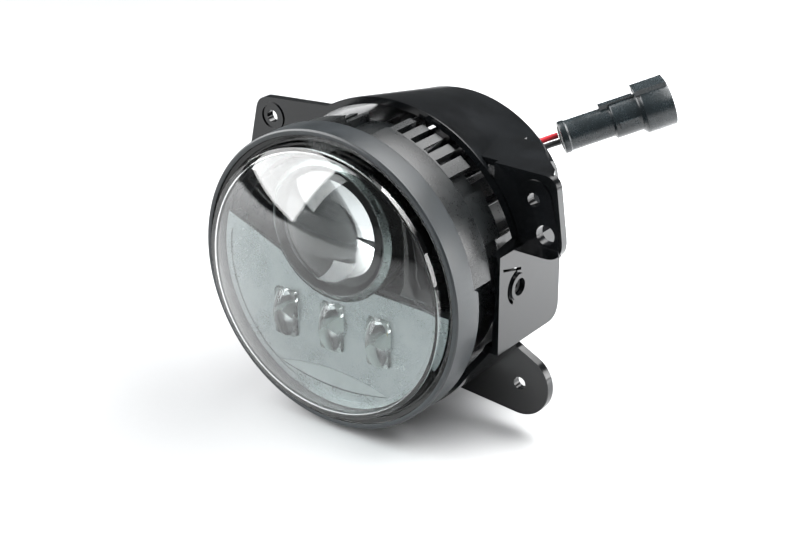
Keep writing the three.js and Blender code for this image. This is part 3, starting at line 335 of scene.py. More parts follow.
# Joins to and cuts from a shape in turn.
def carved(base, steps):
    host = placed("host", bpy.data.meshes.new("host"))
    base.to_mesh(host.data)
    base.free()
    tools = []
    for operation, tool in steps:
        other = placed("tool", bpy.data.meshes.new("tool"))
        tool.to_mesh(other.data)
        tool.free()
        tools.append(other)
        step = host.modifiers.new("step", "BOOLEAN")
        step.operation = operation
        step.solver = "EXACT"
        step.object = other
    bpy.context.view_layer.update()
    result = bmesh.new()
    result.from_mesh(host.evaluated_get(bpy.context.evaluated_depsgraph_get()).to_mesh())
    for gone in [host, *tools]:
        bpy.data.objects.remove(gone)
    closeUp(result)
    bmesh.ops.dissolve_limit(result, angle_limit=math.radians(0.3), verts=result.verts, edges=result.edges)
    return result


# Gives every face whose middle passes the test the piece's second material.
def painted(bm, test):
    for side in bm.faces:
        middle = side.calc_center_median()
        side.material_index = int(test(middle.y, middle))
    return bm


def camel(node):
    first, *others = node.split("_")
    return first + "".join(word.title() for word in others)


# Sets a shape in the frame in place of a node: its material, its body and its rounded edges.
def finished(node, bm, finish, edge=None, smooth=32, slots=(), body="lamp_head"):
    bm.transform(lampMatrix)
    bmesh.ops.recalc_face_normals(bm, faces=bm.faces)
    for face in bm.faces:
        face.smooth = True
    for line in bm.edges:
        if line.is_manifold and line.calc_face_angle(0) > math.radians(smooth):
            line.smooth = False
    mesh = bpy.data.meshes.new(camel(node))
    bm.to_mesh(mesh)
    bm.free()
    made = placed(camel(node), mesh)
    for name in (finish, *slots):
        mesh.materials.append(finishes[name])
    if edge:
        bevel = made.modifiers.new("edge", "BEVEL")
        bevel.width = edge * mm
        bevel.segments = 2
        bevel.limit_method = "ANGLE"
        bevel.angle_limit = math.radians(smooth)
        bevel.use_clamp_overlap = True
        bevel.harden_normals = True
        bevel.miter_outer = "MITER_ARC"
    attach(made, body)
    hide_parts(node)
    return made


# Leads, from the tip of the cable gland to the plug
lead = {"radius": 1.1, "gap": 0.3, "apart": (-0.8, 0.56, 0.6), "route": [
    (0, 0.3, 0), (0, 3.2, 0), (0.5, 6.4, 0.7), (1.9, 9.4, 2.8), (4.6, 11.4, 6.5), (7.9, 12.2, 11.1),
    (11.4, 12.1, 16), (14.9, 11.7, 21), (18.4, 11.4, 25.9), (22, 11.9, 30.4), (26.1, 13.7, 33.9),
    (30, 16.6, 36.3), (33.9, 20.2, 38)]}
glandLow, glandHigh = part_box("cable_gland")
glandTip = lampMatrix.inverted() @ Vector((
    (glandLow.x + glandHigh.x) / 2, glandHigh.y, (glandLow.z + glandHigh.z) / 2))


def leadPoints(side):
    offset = Vector(lead["apart"]) * side * (lead["radius"] + lead["gap"] / 2)
    level = Vector((offset.x, 0, offset.z))
    corners = [glandTip + Vector(point) + (offset if i else level) for i, point in enumerate(lead["route"])]
    ends = [corners[0] * 2 - corners[1], *corners, corners[-1] * 2 - corners[-2]]
    points = []
    for a, b, c, d in zip(ends, ends[1:], ends[2:], ends[3:]):
        middle = (b + c) * 0.5625 - (a + d) * 0.0625  # halfway along a smooth curve from b to c
        points += [b, middle]
    return points + [corners[-1]]


def makeLead(node, side, finish):
    name = camel(node)
    points = [lampMatrix @ point for point in leadPoints(side)]
    curve = bpy.data.curves.new(name, "CURVE")
    curve.dimensions = "3D"
    curve.bevel_depth = lead["radius"] * mm
    curve.bevel_resolution = 5
    curve.resolution_u = 4
    curve.use_fill_caps = True
    spline = curve.splines.new("BEZIER")
    spline.bezier_points.add(len(points) - 1)
    for knot, point in zip(spline.bezier_points, points):
        knot.co = point
        knot.handle_left_type = knot.handle_right_type = "AUTO"
    made = placed(name, curve)
    curve.materials.append(finishes[finish])
    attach(made, "lamp_head")
    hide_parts(node)
    length = sum((q - p).length for p, q in zip(points, points[1:]))
    print(name, "length", round(length / mm, 2))
    return made, points[0], length


redLead, redExit, redLength = makeLead("red_lead", 1, "leadRed")
blackLead, blackExit, blackLength = makeLead("black_lead", -1, "leadBlack")

# Plug: each barrel is a radius and a length
plug = {"rear": (5.9, 19), "middle": (6.6, 11), "mouth": (8.3, 10.5), "wall": 1.6, "depth": 14,
        "sealHole": 4.2, "sealDepth": 6, "waist": 0.35, "gap": 0.6, "aim": (0.68, 0.67, 0.29),
        "pinX": 2.2, "pin": 0.9, "pinInset": 6}
plugAim = Vector(plug["aim"]).normalized()
acrossPlug = plugAim.cross(Vector((0, 0, 1))).normalized()
topOfPlug = acrossPlug.cross(plugAim)
plugMatrix = Matrix.Translation(glandTip + Vector(lead["route"][-1]) + plugAim * plug["gap"]) @ Matrix(
    (acrossPlug, plugAim, topOfPlug)).transposed().to_4x4()
rearRadius, middleStart = plug["rear"]
middleRadius, mouthRadius = plug["middle"][0], plug["mouth"][0]
mouthStart = middleStart + plug["middle"][1]
plugEnd = mouthStart + plug["mouth"][1]
mouthFloor = plugEnd - plug["depth"]


def makePlugShell():
    waist = rearRadius - plug["waist"]
    mouthBore, middleBore = mouthRadius - plug["wall"], middleRadius - plug["wall"]
    outline = eased([
        (0, plug["sealDepth"]), (plug["sealHole"], plug["sealDepth"]), (plug["sealHole"], 0, 0.3),
        (rearRadius, 0, 0.7), (rearRadius, 2.2, 0.3), (waist, 2.7, 0.2), (waist, middleStart - 0.5, 0.3),
        (middleRadius, middleStart, 0.5), (middleRadius, mouthStart - 1.4, 0.4),
        (middleRadius + 0.4, mouthStart - 1, 0.2), (mouthRadius, mouthStart, 0.6),
        (mouthRadius, plugEnd, 0.45), (mouthBore, plugEnd, 0.3), (mouthBore, mouthStart + 1),
        (middleBore, mouthStart + 1), (middleBore, mouthFloor), (0, mouthFloor)], 3)
    ridge = block((-3.6, 3.6), (mouthStart - 1.6, plugEnd - 0.5), (mouthRadius - 1, mouthRadius + 1))
    rearRib = block((-1.1, 1.1), (middleStart - 3.5, mouthStart - 2), (middleRadius - 1.2, middleRadius + 0.7))
    latchHole = rod(1.1, mouthStart - 2, mouthStart + 2, 0, mouthRadius - 0.3, 16)
    steps = [(join, ridge), (join, rearRib), (cut, latchHole)]
    for side in (-1, 1):
        steps.append((cut, rod(1.2, 5, plugEnd, side * plug["pinX"], 0, 16)))
        wing = block((middleRadius - 0.8, middleRadius + 0.6), (middleStart + 1.5, mouthStart - 2.5), (-1.3, 1.3))
        wing.transform(Matrix.Rotation(math.pi * (side < 0), 4, "Y"))
        steps.append((join, wing))
    bm = carved(lathe(outline, 64), steps)
    bm.transform(plugMatrix)
    return finished("plug_shell", bm, "plugGrey", 0.22)


def makePlugInside():
    seal = lathe(eased([(0, 0.3), (3.9, 0.3, 0.3), (3.9, 5.7, 0.3), (0, 5.7)], 2), 40)
    seal.transform(plugMatrix)
    made = [finished("plug_seal", seal, "sealBlack")]
    radius, end = plug["pin"], plugEnd - plug["pinInset"]
    outline = eased([(0, 6.3), (radius, 6.3), (radius, end - 0.8, 0.1), (radius / 2, end, 0.2), (0, end)], 3)
    for side, node in ((-1, "plug_pin_left"), (1, "plug_pin_right")):
        pin = lathe(outline, 20, side * plug["pinX"])
        pin.transform(plugMatrix)
        made.append(finished(node, pin, "tinPlate"))
    return made


plugPieces = [makePlugShell(), *makePlugInside()]
print("leads and plug")

# Floor and lights: sizes and distances in metres, aims in millimetres about the lamp
studio = {"floor": 6.0, "sky": "#f3f6f8", "skyPower": 0.1}
floorLook = {"colour": "#b6b7b8", "colourTo": "#bbbcbd", "grain": 1.5, "patch": 300,
             "roughness": (0.55, 0.7), "depth": 0.01}
lights = {
    "softboxLeft": {"azimuth": -64, "elevation": 35, "distance": 1.3, "size": (1.75, 1.55), "power": 62,
                    "roll": -11},
    "washRear": {"azimuth": 143, "elevation": 89, "distance": 0.36, "size": (0.6, 0.6), "power": 9,
                 "spread": 110, "aim": (250, 360, -54)},
    "fillRight": {"azimuth": 118, "elevation": 10, "distance": 0.9, "size": (0.7, 0.35), "power": 6},
    "stripRear": {"azimuth": 165, "elevation": 62, "distance": 1.4, "size": (1.2, 0.3), "power": 2},
}


def panel(name, look):
    light = bpy.data.lights.new(name, "AREA")
    light.shape = "RECTANGLE"
    light.size, light.size_y = look["size"]
    light.energy = look["power"]
    light.spread = math.radians(look.get("spread", 180))
    made = placed(name, light)
    away = towards(look["azimuth"], look["elevation"])
    roll = Matrix.Rotation(math.radians(look.get("roll", 0)), 3, "Z")
    made.location = lampMatrix @ Vector(look.get("aim", (0, 20, 0))) + away * look["distance"]
    made.rotation_euler = (away.to_track_quat("Z", "Y").to_matrix() @ roll).to_euler()


def makeFloor():
    bm = bmesh.new()
    bmesh.ops.create_grid(bm, x_segments=8, y_segments=8, size=studio["floor"])
    mesh = bpy.data.meshes.new("floor")
    bm.to_mesh(mesh)
    bm.free()
    finishes["floorWhite"] = grained("floorWhite", floorLook)
    mesh.materials.append(finishes["floorWhite"])
    placed("floor", mesh)


makeFloor()
for name, look in lights.items():
    panel(name, look)
world = bpy.data.worlds.new("studio")
bpy.context.scene.world = world
world.use_nodes = True
sky = world.node_tree.nodes["Background"]
sky.inputs[0].default_value = linear(studio["sky"])
sky.inputs[1].default_value = studio["skyPower"]
bpy.context.scene.view_settings.view_transform = "Standard"
print("studio")

# Bezel ring, shallower over the top half, with a recess inside its front edge that takes the black trim finish as
# painted shade
bezel = {"lip": 48.4, "lipDepth": 1.6, "bore": 50.7, "radius": 52, "depth": 12, "shallow": 10, "step": 8,
         "grooveShade": 50.15}


def makeBezel():
    lip, lipDepth, bore, radius, depth = [bezel[key] for key in ("lip", "lipDepth", "bore", "radius", "depth")]
    outline = eased([
        (lip, lipDepth), (lip, 1.1, 0.2), (50, 0.9, 0.2), (50.1, 0.1, 0.1), (50.6, 0, 0.1), (51.5, 0, 0.2),
        (radius, 0.6, 0.3), (radius, depth, 0.4), (bore, depth), (bore, lipDepth)], 4)
    bm = lathe(outline, 240)
    for vert in bm.verts:
        angle = math.degrees(math.atan2(vert.co.z, vert.co.x))
        if vert.co.y > bezel["shallow"] and bezel["step"] < angle < 180 - bezel["step"]:
            vert.co.y -= depth - bezel["shallow"]
    # the faces of the recess inside the front edge take the black trim finish: painted shade for the dark gap
    # between bezel and lens
    painted(bm, lambda y, at: y < 2 and math.hypot(at.x, at.z) < bezel["grooveShade"])
    finished("bezel_ring", bm, "bezelPaint", smooth=40, slots=["trimBlack"])


# Outer lens: a dome on a straight side, with a flange under the bezel and a black foot
dome = {"edge": 47.9, "shoulder": 46.9, "front": 1.9, "rise": 17, "side": 4.6, "wall": 2.5, "flange": 50.2,
        "flangeBack": 4.3, "rings": 22, "black": 47}


def makeOuterLens():
    front, shoulder, flange, flangeBack = [dome[key] for key in ("front", "shoulder", "flange", "flangeBack")]
    bulge = dome["rise"] - dome["side"]
    curve = (dome["edge"] ** 2 + bulge ** 2) / (2 * bulge)
    middle = front - dome["rise"] + curve
    outer = cap(curve, shoulder - 1, middle, dome["rings"])
    inner = cap(curve - dome["wall"], shoulder - 2.6, middle, dome["rings"])
    rim = eased([
        outer[-1], (shoulder, outer[-1][1] + 0.25, 0.5), (dome["edge"], front), (flange, front, 0.2),
        (flange, flangeBack, 0.2), (45.4, flangeBack, 0.3), (shoulder - 2, inner[-1][1] + 0.4, 0.4),
        inner[-1]], 4)
    bm = lathe([*outer[:-1], *[tuple(p) for p in rim], *reversed(inner[:-1])], 160)
    painted(bm, lambda y, at: math.hypot(at.x, at.z) > dome["black"] and y > 0.2)
    finished("outer_lens", bm, "lensClear", smooth=50, slots=["trimBlack"])


def makeGasket():
    outline = eased([(47.5, 4.6, 0.3), (49.9, 4.6, 0.3), (49.9, 5.8, 0.3), (47.5, 5.8, 0.3)], 3)
    finished("lens_gasket", lathe(outline, 96), "sealBlack")


makeBezel()
makeOuterLens()
makeGasket()
print("front")

# Housing: sectors are raised steps of its shell, as two angles and a radius
housing = {"rim": 50.4, "shell": 45, "mid": 42, "sink": 32, "sinkEnd": 62, "bore": 24.5, "finTip": 39.5,
           "fins": 22, "finWall": 2.2, "slots": (56, 62.5, 69, 75.5), "slotWidth": 2.4, "pivotY": 35,
           "pivotHole": 3, "screwZ": -42.5, "screwCircle": 28.9, "edge": 0.35,
           "sectors": ((20, 40, 47.6), (49, 80, 49.6), (100, 131, 47.6), (140, 160, 47.6))}
screwReach = housing["screwCircle"] * math.sqrt(0.5)
coverScrewPlaces = [(x * screwReach, z * screwReach) for x, z in ((-1, -1), (1, -1), (1, 1), (-1, 1))]


def sinkFins():
    thick = housing["finWall"] / 2
    root, tip = housing["sink"] - 1, housing["finTip"]
    outline = eased([(root, -thick * 1.1), (tip, -thick * 0.75, 0.7), (tip, thick * 0.75, 0.7),
                     (root, thick * 1.1)], 3)
    return [(join, turned(plate(outline, 37, housing["sinkEnd"] - 1.5), -math.tau * i / housing["fins"]))
            for i in range(housing["fins"])]


def makeHousing():
    rim, shell, mid, sink, sinkEnd = [housing[key] for key in ("rim", "shell", "mid", "sink", "sinkEnd")]
    pivotY, screwZ, half = housing["pivotY"], housing["screwZ"], housing["slotWidth"] / 2
    outline = eased([
        (0, 30), (42.5, 30, 1), (42.5, 9.1), (46, 9.1), (46, 6.1, 0.3), (rim, 6.1, 0.3), (rim, 21.5, 0.5),
        (shell, 23, 0.6), (shell, 34.6, 0.8), (mid, 36.6, 0.6), (mid, 38, 0.5), (sink, 38, 1.5),
        (sink, sinkEnd, 0.6), (0, sinkEnd)], 4)
    steps = [(join, ringSlice(44, radius, 20.5, 34, start, end)) for start, end, radius in housing["sectors"]]
    steps += [(cut, ringSlice(shell, 52, 12.3, 23.5, -188, 8)), (cut, ringSlice(shell, 52, 13, 23.5, 80, 100))]
    for angle in [*housing["slots"], *[180 - angle for angle in housing["slots"]]]:
        steps.append((cut, turned(block((45.6, 52), (23, 36), (-half, half)), -math.radians(angle))))
    steps.append((join, plate(arc(42.7, -9, -171, 60), 18.2, 31)))
    # room for the bracket's tower, then the arm and the hole for its nut
    steps += [(cut, block((-9, 9), (22.5, 39), (-52, -32.6))), (join, block((-7, 7), (32, 38), (-48.6, -30.6))),
              (cut, rod(4.4, 31, 39, 0, screwZ))]
    for side in (-1, 1):
        steps += [(join, crossRod(5.2, side * 36, side * 48.6, pivotY, 0, 40)),
                  (cut, crossRod(housing["pivotHole"], side * 38, side * 52, pivotY, 0))]
        steps += [(cut, rod(1.9, 57, 63, x, z, 20)) for x, z in coverScrewPlaces if x * side > 0]
    steps += sinkFins()
    steps.append((cut, rod(housing["bore"], 36, 63, steps=80)))
    finished("lamp_housing", carved(lathe(outline, 144), steps), "housingPaint", housing["edge"])


def makePivotPins():
    outline = eased([(0, 38.3), (2.7, 38.3), (2.7, 50.6, 0.4), (1.1, 50.6, 0.2), (1.1, 49.4), (0, 49.4)], 3)
    for side, node in ((-1, "pivot_pin_left"), (1, "pivot_pin_right")):
        bm = turned(lathe(outline, 32), -side * math.pi / 2, "Z")
        bmesh.ops.translate(bm, verts=bm.verts, vec=(0, housing["pivotY"], 0))
        finished(node, bm, "pinBlack")


makeHousing()
makePivotPins()
print("housing")

# Bracket: a cup with two flat cheeks and three ears; holes are an angle on the ear circle and a radius
cup = {"radius": 52.4, "rear": 44.6, "wall": 2.4, "front": 17, "taper": 37.5, "shoulder": 77, "end": 83,
       "opening": 31, "cheek": 51.5, "cheekRear": 60.2, "cheekLow": -20.8, "cheekTop": 14, "earCircle": 63.4,
       "earBack": 37, "earFront": 40, "roofTop": 39.8, "roofWall": 2.2, "edge": 0.45, "beyond": 70,
       "holes": {"left": (146.6, 2.25), "right": (29.1, 2.25), "peg": (18.2, 3.4), "lower": (-35.1, 2.25)}}


def onEarCircle(angle):
    return cup["earCircle"] * math.cos(math.radians(angle)), cup["earCircle"] * math.sin(math.radians(angle))


def cheek(inset):
    low, top, rear = cup["cheekLow"] + inset, cup["cheekTop"] - inset, cup["cheekRear"] - inset
    return eased([(18, low), (rear, low, 6 - inset), (rear, top), (18, top)], 6)


def ears():
    leftX, leftZ = onEarCircle(cup["holes"]["left"][0])
    arch = arc(6.6, 190, 8, 24, *onEarCircle(cup["holes"]["right"][0]))
    outlines = [
        eased([(40, 39.8), (63.2, 39.8, 5), (67.2, 11.2, 7), (40, 11.2)], 8),
        eased([(-26, 44.2), (-59.2, 41.2, 6), (-65.2, 13, 6), (-40, 13)], 8),
        [(44, -20), (24, -45.4)] + arc(11.3, -92.8, 54.4, 24, *onEarCircle(cup["holes"]["lower"][0]))]
    steps = [(join, plate(outline, cup["earBack"], cup["earFront"])) for outline in outlines]
    steps += [(join, rod(5.2, 36.5, 40, leftX, leftZ, 48)), (cut, rod(4.2, 36, 37, leftX, leftZ, 48)),
              (join, plate(arch + [(64.6, 22), (65.6, 13.4), (52.6, 13.4), (50.6, 22)], 36.4, 38))]
    under = cup["roofTop"] - cup["roofWall"]
    roof = [(x, y, under) for x, y in ((26, 39), (61, 39), (59, 43), (40, 62), (26, 62))]
    return steps + [(join, drawn(roof, (0, 0, cup["roofWall"])))]


def makeBracket():
    radius, rear, wall, front, taper = [cup[key] for key in ("radius", "rear", "wall", "front", "taper")]
    shoulder, end, beyond, outside = cup["shoulder"], cup["end"], cup["beyond"], cup["cheek"]
    pivotY, screwZ, bend = housing["pivotY"], housing["screwZ"], end - shoulder
    turns = [math.radians(angle) for angle in range(0, 91, 10)]
    corner = [(rear - bend * (1 - math.cos(a)), shoulder + bend * math.sin(a)) for a in turns]
    base = lathe([(0, front), (radius, front), (radius, taper), *corner, (0, end)], 192)
    steps = []
    for side in (-1, 1):
        steps += [(cut, block(sorted((side * outside, side * beyond)), (0, end), (-beyond, beyond))),
                  (join, sidePlate(cheek(0), side * 38, side * outside)),
                  (join, crossRod(4.6, side * 50.5, side * 52.2, pivotY, 0, 40))]
    steps += ears()
    steps.append((join, block((-10, 10), (22, end), (-54.2, -43.6))))
    inside = [(0, front - 1), (radius - wall, front - 1), (radius - wall, taper), (rear - wall, shoulder),
              (rear - wall - 3, end - wall), (0, end - wall)]
    steps += [(cut, lathe(inside, 192)), (cut, rod(cup["opening"], 72, 84, steps=128))]
    for side in (-1, 1):
        slit = arc(6.25, 97.4, 240.6, 18, pivotY, 0) + arc(5.35, 240.6, 97.4, 18, pivotY, 0)
        across = [(26, 9.2), (26, 8.2), (36.5, 5.4), (36.5, 6.4)]
        steps += [(cut, sidePlate(cheek(wall), side * 30, side * (outside - wall))),
                  (cut, crossRod(housing["pivotHole"], side * 48, side * beyond, pivotY, 0)),
                  (cut, sidePlate(slit, side * 48, side * 53)), (cut, sidePlate(across, side * 48, side * 53)),
                  (cut, block(sorted((side * 36, side * beyond)), (cup["cheekRear"], 84), (-beyond, beyond)))]
    rim = [(12, -beyond), (12, beyond), (36.5, beyond), (36.5, 15.5), (24, 14), (24, -20.8), (17, -26.8),
           (17, -beyond)]
    steps += [(cut, sidePlate(rim, -beyond, beyond)), (join, block((-7.6, 7.6), (79, end), (-54.2, -31))),
              (cut, rod(4.6, 21, 79, 0, screwZ)), (cut, rod(3, 77, 84, 0, screwZ))]
    for angle, hole in cup["holes"].values():
        steps.append((cut, rod(hole, 36, 41, *onEarCircle(angle), 40)))
    finished("mounting_bracket", carved(base, steps), "bracketBlack", cup["edge"], body="bracket")


makeBracket()
print("bracket")

# Projector: lens, holder, shield, reflector and its light source
projector = {"z": 17.5, "lens": 21.5, "front": -4, "rim": 3.9, "back": 6.1, "steps": 24, "holder": 24.2,
             "ledge": 20, "inside": 21.9, "notches": (35, 155, 275), "boardScrew": 8.8}


def makeProjectorLens():
    radius, rim, back = projector["lens"], projector["rim"], projector["back"]
    rise = rim - projector["front"]
    curve = (radius ** 2 + rise ** 2) / (2 * rise)
    widest = math.asin(radius / curve)
    angles = [widest * i / projector["steps"] for i in range(projector["steps"])]
    front = [(curve * math.sin(a), projector["front"] + curve * (1 - math.cos(a))) for a in angles]
    edge = eased([(radius, rim, 0.3), (radius, back, 0.2), (0, back)], 3)
    lens = lathe([*front, *[tuple(point) for point in edge]], 128, 0, projector["z"])
    finished("projector_lens", lens, "projectorGlass", smooth=40)


def makeHolder():
    outer, ledge, level = projector["holder"], projector["ledge"], projector["z"]
    outline = eased([
        (21.8, 1.9, 0.2), (22.4, 1.9, 0.2), (outer, 3.6, 0.3), (outer, 13.9, 0.3), (ledge, 13.9, 0.3),
        (ledge, 6.4, 0.2), (21.8, 6.4)], 4)
    steps = []
    for angle in projector["notches"]:
        notch = block((22.6, 25), (1, 3.2), (-2.4, 2.4))
        notch.transform(Matrix.Translation((0, 0, level)) @ Matrix.Rotation(-math.radians(angle), 4, "Y"))
        steps.append((cut, notch))
    ring = carved(lathe(outline, 128, 0, level), steps)
    painted(ring, lambda y, at: math.hypot(at.x, at.z - level) < projector["inside"])
    finished("projector_holder", ring, "holderGrey", 0.12, slots=["trimBlack"])


def makeShieldAndReflector():
    level = projector["z"]
    window = arc(19, 0, 180, 48, 0, level)
    cutoff = [(-19, 17.5), (-2.2, 17.5), (0.6, 15.4), (19, 15.4), (19, 18), (-19, 18)]
    shield = carved(rod(23.9, 14.2, 15.4, 0, level, 96),
                    [(cut, plate(window, 13, 17)), (cut, plate(cutoff, 13, 17))])
    finished("cutoff_shield", shield, "trimBlack", 0.1)
    bowl = [(20 - 12 * t ** 1.7, 15.7 + 11.7 * t) for t in [i / 14 for i in range(15)]]
    shell = [(radius + 1.2, y) for radius, y in reversed(bowl)]
    finished("projector_reflector", lathe([*bowl, *shell], 96, 0, level), "reflectorChrome", smooth=50)


def makeProjectorLight():
    holes = [(cut, rod(1.6, 27, 31, x, projector["z"], 20))
             for x in (-projector["boardScrew"], projector["boardScrew"])]
    board = eased([(-11, 7.5, 1), (11, 7.5, 1), (11, 27.5, 1), (-11, 27.5, 1)], 4)
    finished("projector_led_board", carved(plate(board, 28.1, 29.7), holes), "boardWhite", 0.1)
    lines = [(cut, block((x - 0.08, x + 0.08), (26, 27.1), (16.2, 18.8))) for x in (-1.4, 0, 1.4)]
    chip = eased([(-3, 16, 0.3), (3, 16, 0.3), (3, 19, 0.3), (-3, 19, 0.3)], 3)
    finished("projector_led", carved(plate(chip, 26.9, 27.8), lines), "phosphorAmber")


# Silver mask, black trim, beam optics and light guide
face = {"radius": 45, "front": 3.42, "thick": 1.4, "hole": 24.5, "pitch": 19.2, "opticWidth": 8.6,
        "opticTop": -8.6, "opticBottom": -25, "opticMiddle": -16.8, "guideTip": (22.5, -35.9),
        "guideTop": 3.3, "guideBelow": 3.4, "trimFloor": 13.2}


# A leaf between two points, bowed above and below them.
def guideLeaf(grow, cuts=24):
    tip, level = face["guideTip"]
    top, below = 2 * (face["guideTop"] + grow), 2 * (face["guideBelow"] + grow)
    steps = [i / cuts for i in range(cuts + 1)]
    upper = [((tip + grow) * (2 * t - 1), level + 2 * t * (1 - t) * top) for t in steps]
    return upper + [(-x, level - 2 * t * (1 - t) * below) for (x, z), t in zip(upper[1:-1], steps[1:-1])]


def opticFace(x, grow, corner):
    half = face["opticWidth"] / 2 + grow
    low, top = face["opticBottom"] - grow, face["opticTop"] + grow
    return eased([(x - half, low, corner), (x + half, low, corner), (x + half, top, corner),
                  (x - half, top, corner)], 5)


def makeMask():
    y0, y1 = face["front"], face["front"] + face["thick"]
    outline = arc(face["radius"], -1.1, -197.4, 90) + arc(face["hole"], -148.5, -45.8, 48, 0, projector["z"])
    steps = [(join, ringSlice(41.3, face["radius"], y1 - 0.2, 8.8, -196, -2))]
    for x in (-face["pitch"], 0, face["pitch"]):
        steps.append((cut, plate(opticFace(x, 0.3, 1.2), 0, 8)))
    steps += [(cut, plate(guideLeaf(0), 0, 8)), (cut, ringSlice(42.2, 42.9, 3, 3.75, -190, -10))]
    finished("silver_mask", carved(plate(outline, y0, y1), steps), "maskSilver", 0.18)


def makeUpperTrim():
    y0, y1, floor, level = face["front"], face["front"] + face["thick"], face["trimFloor"], projector["z"]
    outline = arc(face["radius"], 0.7, 161.5, 90) + arc(face["hole"], 208.6, -41.3, 110, 0, level)
    pocket = arc(40.4, 6, 155, 80) + arc(26, 200, -28, 90, 0, level)
    wall = arc(41.6, 3, 158, 80) + arc(24.6, 203, -31, 90, 0, level)
    base = carved(plate(outline, y0, y1),
                  [(join, plate(wall, y0 + 0.2, floor + 1.2)), (cut, plate(pocket, 0, floor))])
    behind = floor + 0.6
    steps = []
    for x0, x1, z0, z1, top in ((28.4, 30.4, 2.5, 27.5, 4.2), (31.4, 32.4, 3.5, 24, 6)):
        leg = [(x0, z0), (x1 + 2.4, z0), (x1, z0 + 5), (x1 - 0.6, z1), (x0, z1)]
        steps.append((join, plate(leg, top, behind)))
    steps += [(join, plate([(25.2, 0.4), (39.6, 0.4), (38.8, 5.2), (27.2, 5.2)], 6.2, behind)),
              (join, crossRod(1.2, 24.8, 30, 8.5, 21.5, 20))]
    steps += [(cut, block((28, 40), (5, 6.9), (1.1 + 0.8 * i, 1.5 + 0.8 * i))) for i in range(5)]
    for i in range(7):
        rib = block((33, 41), (6.5, behind), (-0.45, 0.45))
        steps.append((join, turned(rib, -math.radians(146 - 7 * i))))
    finished("upper_trim", carved(base, steps), "trimBlack", 0.15)


def makeBeamOptics():
    middle = face["opticMiddle"]
    board = eased([(-32.1, -30.4, 8), (32.1, -30.4, 8), (32.1, -10.5, 3), (-32.1, -10.5, 3)], 6)
    holes = [(cut, rod(1.5, 15, 19, x, -15, 20)) for x in (-28.5, 28.5)]
    finished("beam_led_board", carved(plate(board, 16.3, 17.9), holes), "boardWhite", 0.1)
    for place, x in (("left", -face["pitch"]), ("middle", 0), ("right", face["pitch"])):
        chip = carved(block((x - 1.5, x + 1.5), (15.1, 16), (-18.3, -15.3)),
                      [(cut, rod(1.2, 15, 15.3, x, middle, 24))])
        finished("beam_led_" + place, chip, "phosphorYellow", 0.08)
        pillow = plate(opticFace(x, 0, 1.1), 2.2, 7.1)
        bowl = bmesh.new()
        bmesh.ops.create_uvsphere(bowl, u_segments=48, v_segments=32, radius=1, matrix=Matrix.Translation(
            (x, 5, middle)) @ Matrix.Diagonal((5.2, 6.4, 9.6, 1)))
        bounds = plate(opticFace(x, 0, 1.1), -2, 7)
        optic = carved(bowl, [("INTERSECT", bounds), (join, pillow),
                              (join, rod(4.3, 6.9, 14.8, x, middle, 32, 2.6))])
        finished("beam_optic_" + place, optic, "opticClear", 0.25, 40)


def makeGuide():
    back = eased([(-19, -33.4, 1), (19, -33.4, 1), (15, -38, 2), (-15, -38, 2)], 4)
    guide = carved(plate(guideLeaf(-0.35), 3.6, 5.3), [(join, plate(back, 5.1, 8.1))])
    finished("accent_light_guide", guide, "guideFrost", 0.3)


makeProjectorLens()
makeHolder()
makeShieldAndReflector()
makeProjectorLight()
makeMask()
makeUpperTrim()
makeBeamOptics()
makeGuide()
print("optics")


# Driver board with its capacitor and inductor
def makeDriver():
    holes = [(cut, rod(1.4, 43, 47, x, z, 20)) for x, z in ((0, 21), (-18, -10), (18, -10))]
    finished("driver_board", carved(rod(24, 44, 45.6, steps=96), holes), "boardGreen", 0.1)
    can = eased([(0, 45.9), (3.6, 45.9, 0.2), (4, 46.4, 0.2), (4, 47, 0.2), (3.8, 47.3, 0.1), (4, 47.6, 0.2),
                 (4, 54.9, 0.4), (0, 54.9)], 3)
    marks = [(cut, block((10.9, 11.1), (54.6, 56), (-9, -3))), (cut, block((8, 14), (54.6, 56), (-6.1, -5.9)))]
    finished("driver_capacitor", carved(lathe(can, 40, 11, -6), marks), "pinBlack")
    coil = carved(plate(eased([(-16, 2, 1.5), (-6, 2, 1.5), (-6, 12, 1.5), (-16, 12, 1.5)], 4), 45.9, 51.4),
                  [(cut, rod(2.6, 50.4, 53, -11, 7, 32))])
    finished("driver_inductor", coil, "plugGrey", 0.3)


# Rear cover with its seal, screws, cable gland and vent
cover = {"radius": 32, "front": 63.6, "back": 66.6, "gland": (-8.8, -12.95), "vent": (12, 10), "ribCircle": 21,
         "ribBack": 67.3, "screwHead": 66.9}


def makeRearCover():
    seal = lathe(eased([(25, 62.3, 0.3), (26.5, 62.3, 0.3), (26.5, 63.3, 0.3), (25, 63.3, 0.3)], 3), 96)
    finished("cover_seal", seal, "sealOrange")
    radius, front, back = cover["radius"], cover["front"], cover["back"]
    outline = eased([(0, front), (radius, front, 0.3), (radius, back - 0.6, 0.6), (radius - 0.8, back, 0.2),
                     (0, back)], 4)
    steps = []
    for x, z in sorted(coverScrewPlaces):
        steps += [(cut, rod(1.9, 60, 70, x, z, 24)), (cut, rod(3.6, 66.2, 70, x, z, 40))]
    steps += [(cut, rod(4.6, 60, 70, *cover["gland"], 40)), (cut, rod(3.7, 60, 70, *cover["vent"], 40))]
    for x, low in ((-12, -2), (-4, None), (4, None), (12, 16)):
        top = math.sqrt(cover["ribCircle"] ** 2 - x ** 2)
        steps.append((join, block((x - 0.6, x + 0.6), (66, cover["ribBack"]),
                                  (22 - top if low is None else low, top))))
    finished("rear_cover", carved(lathe(outline, 128), steps), "housingPaint", 0.2)


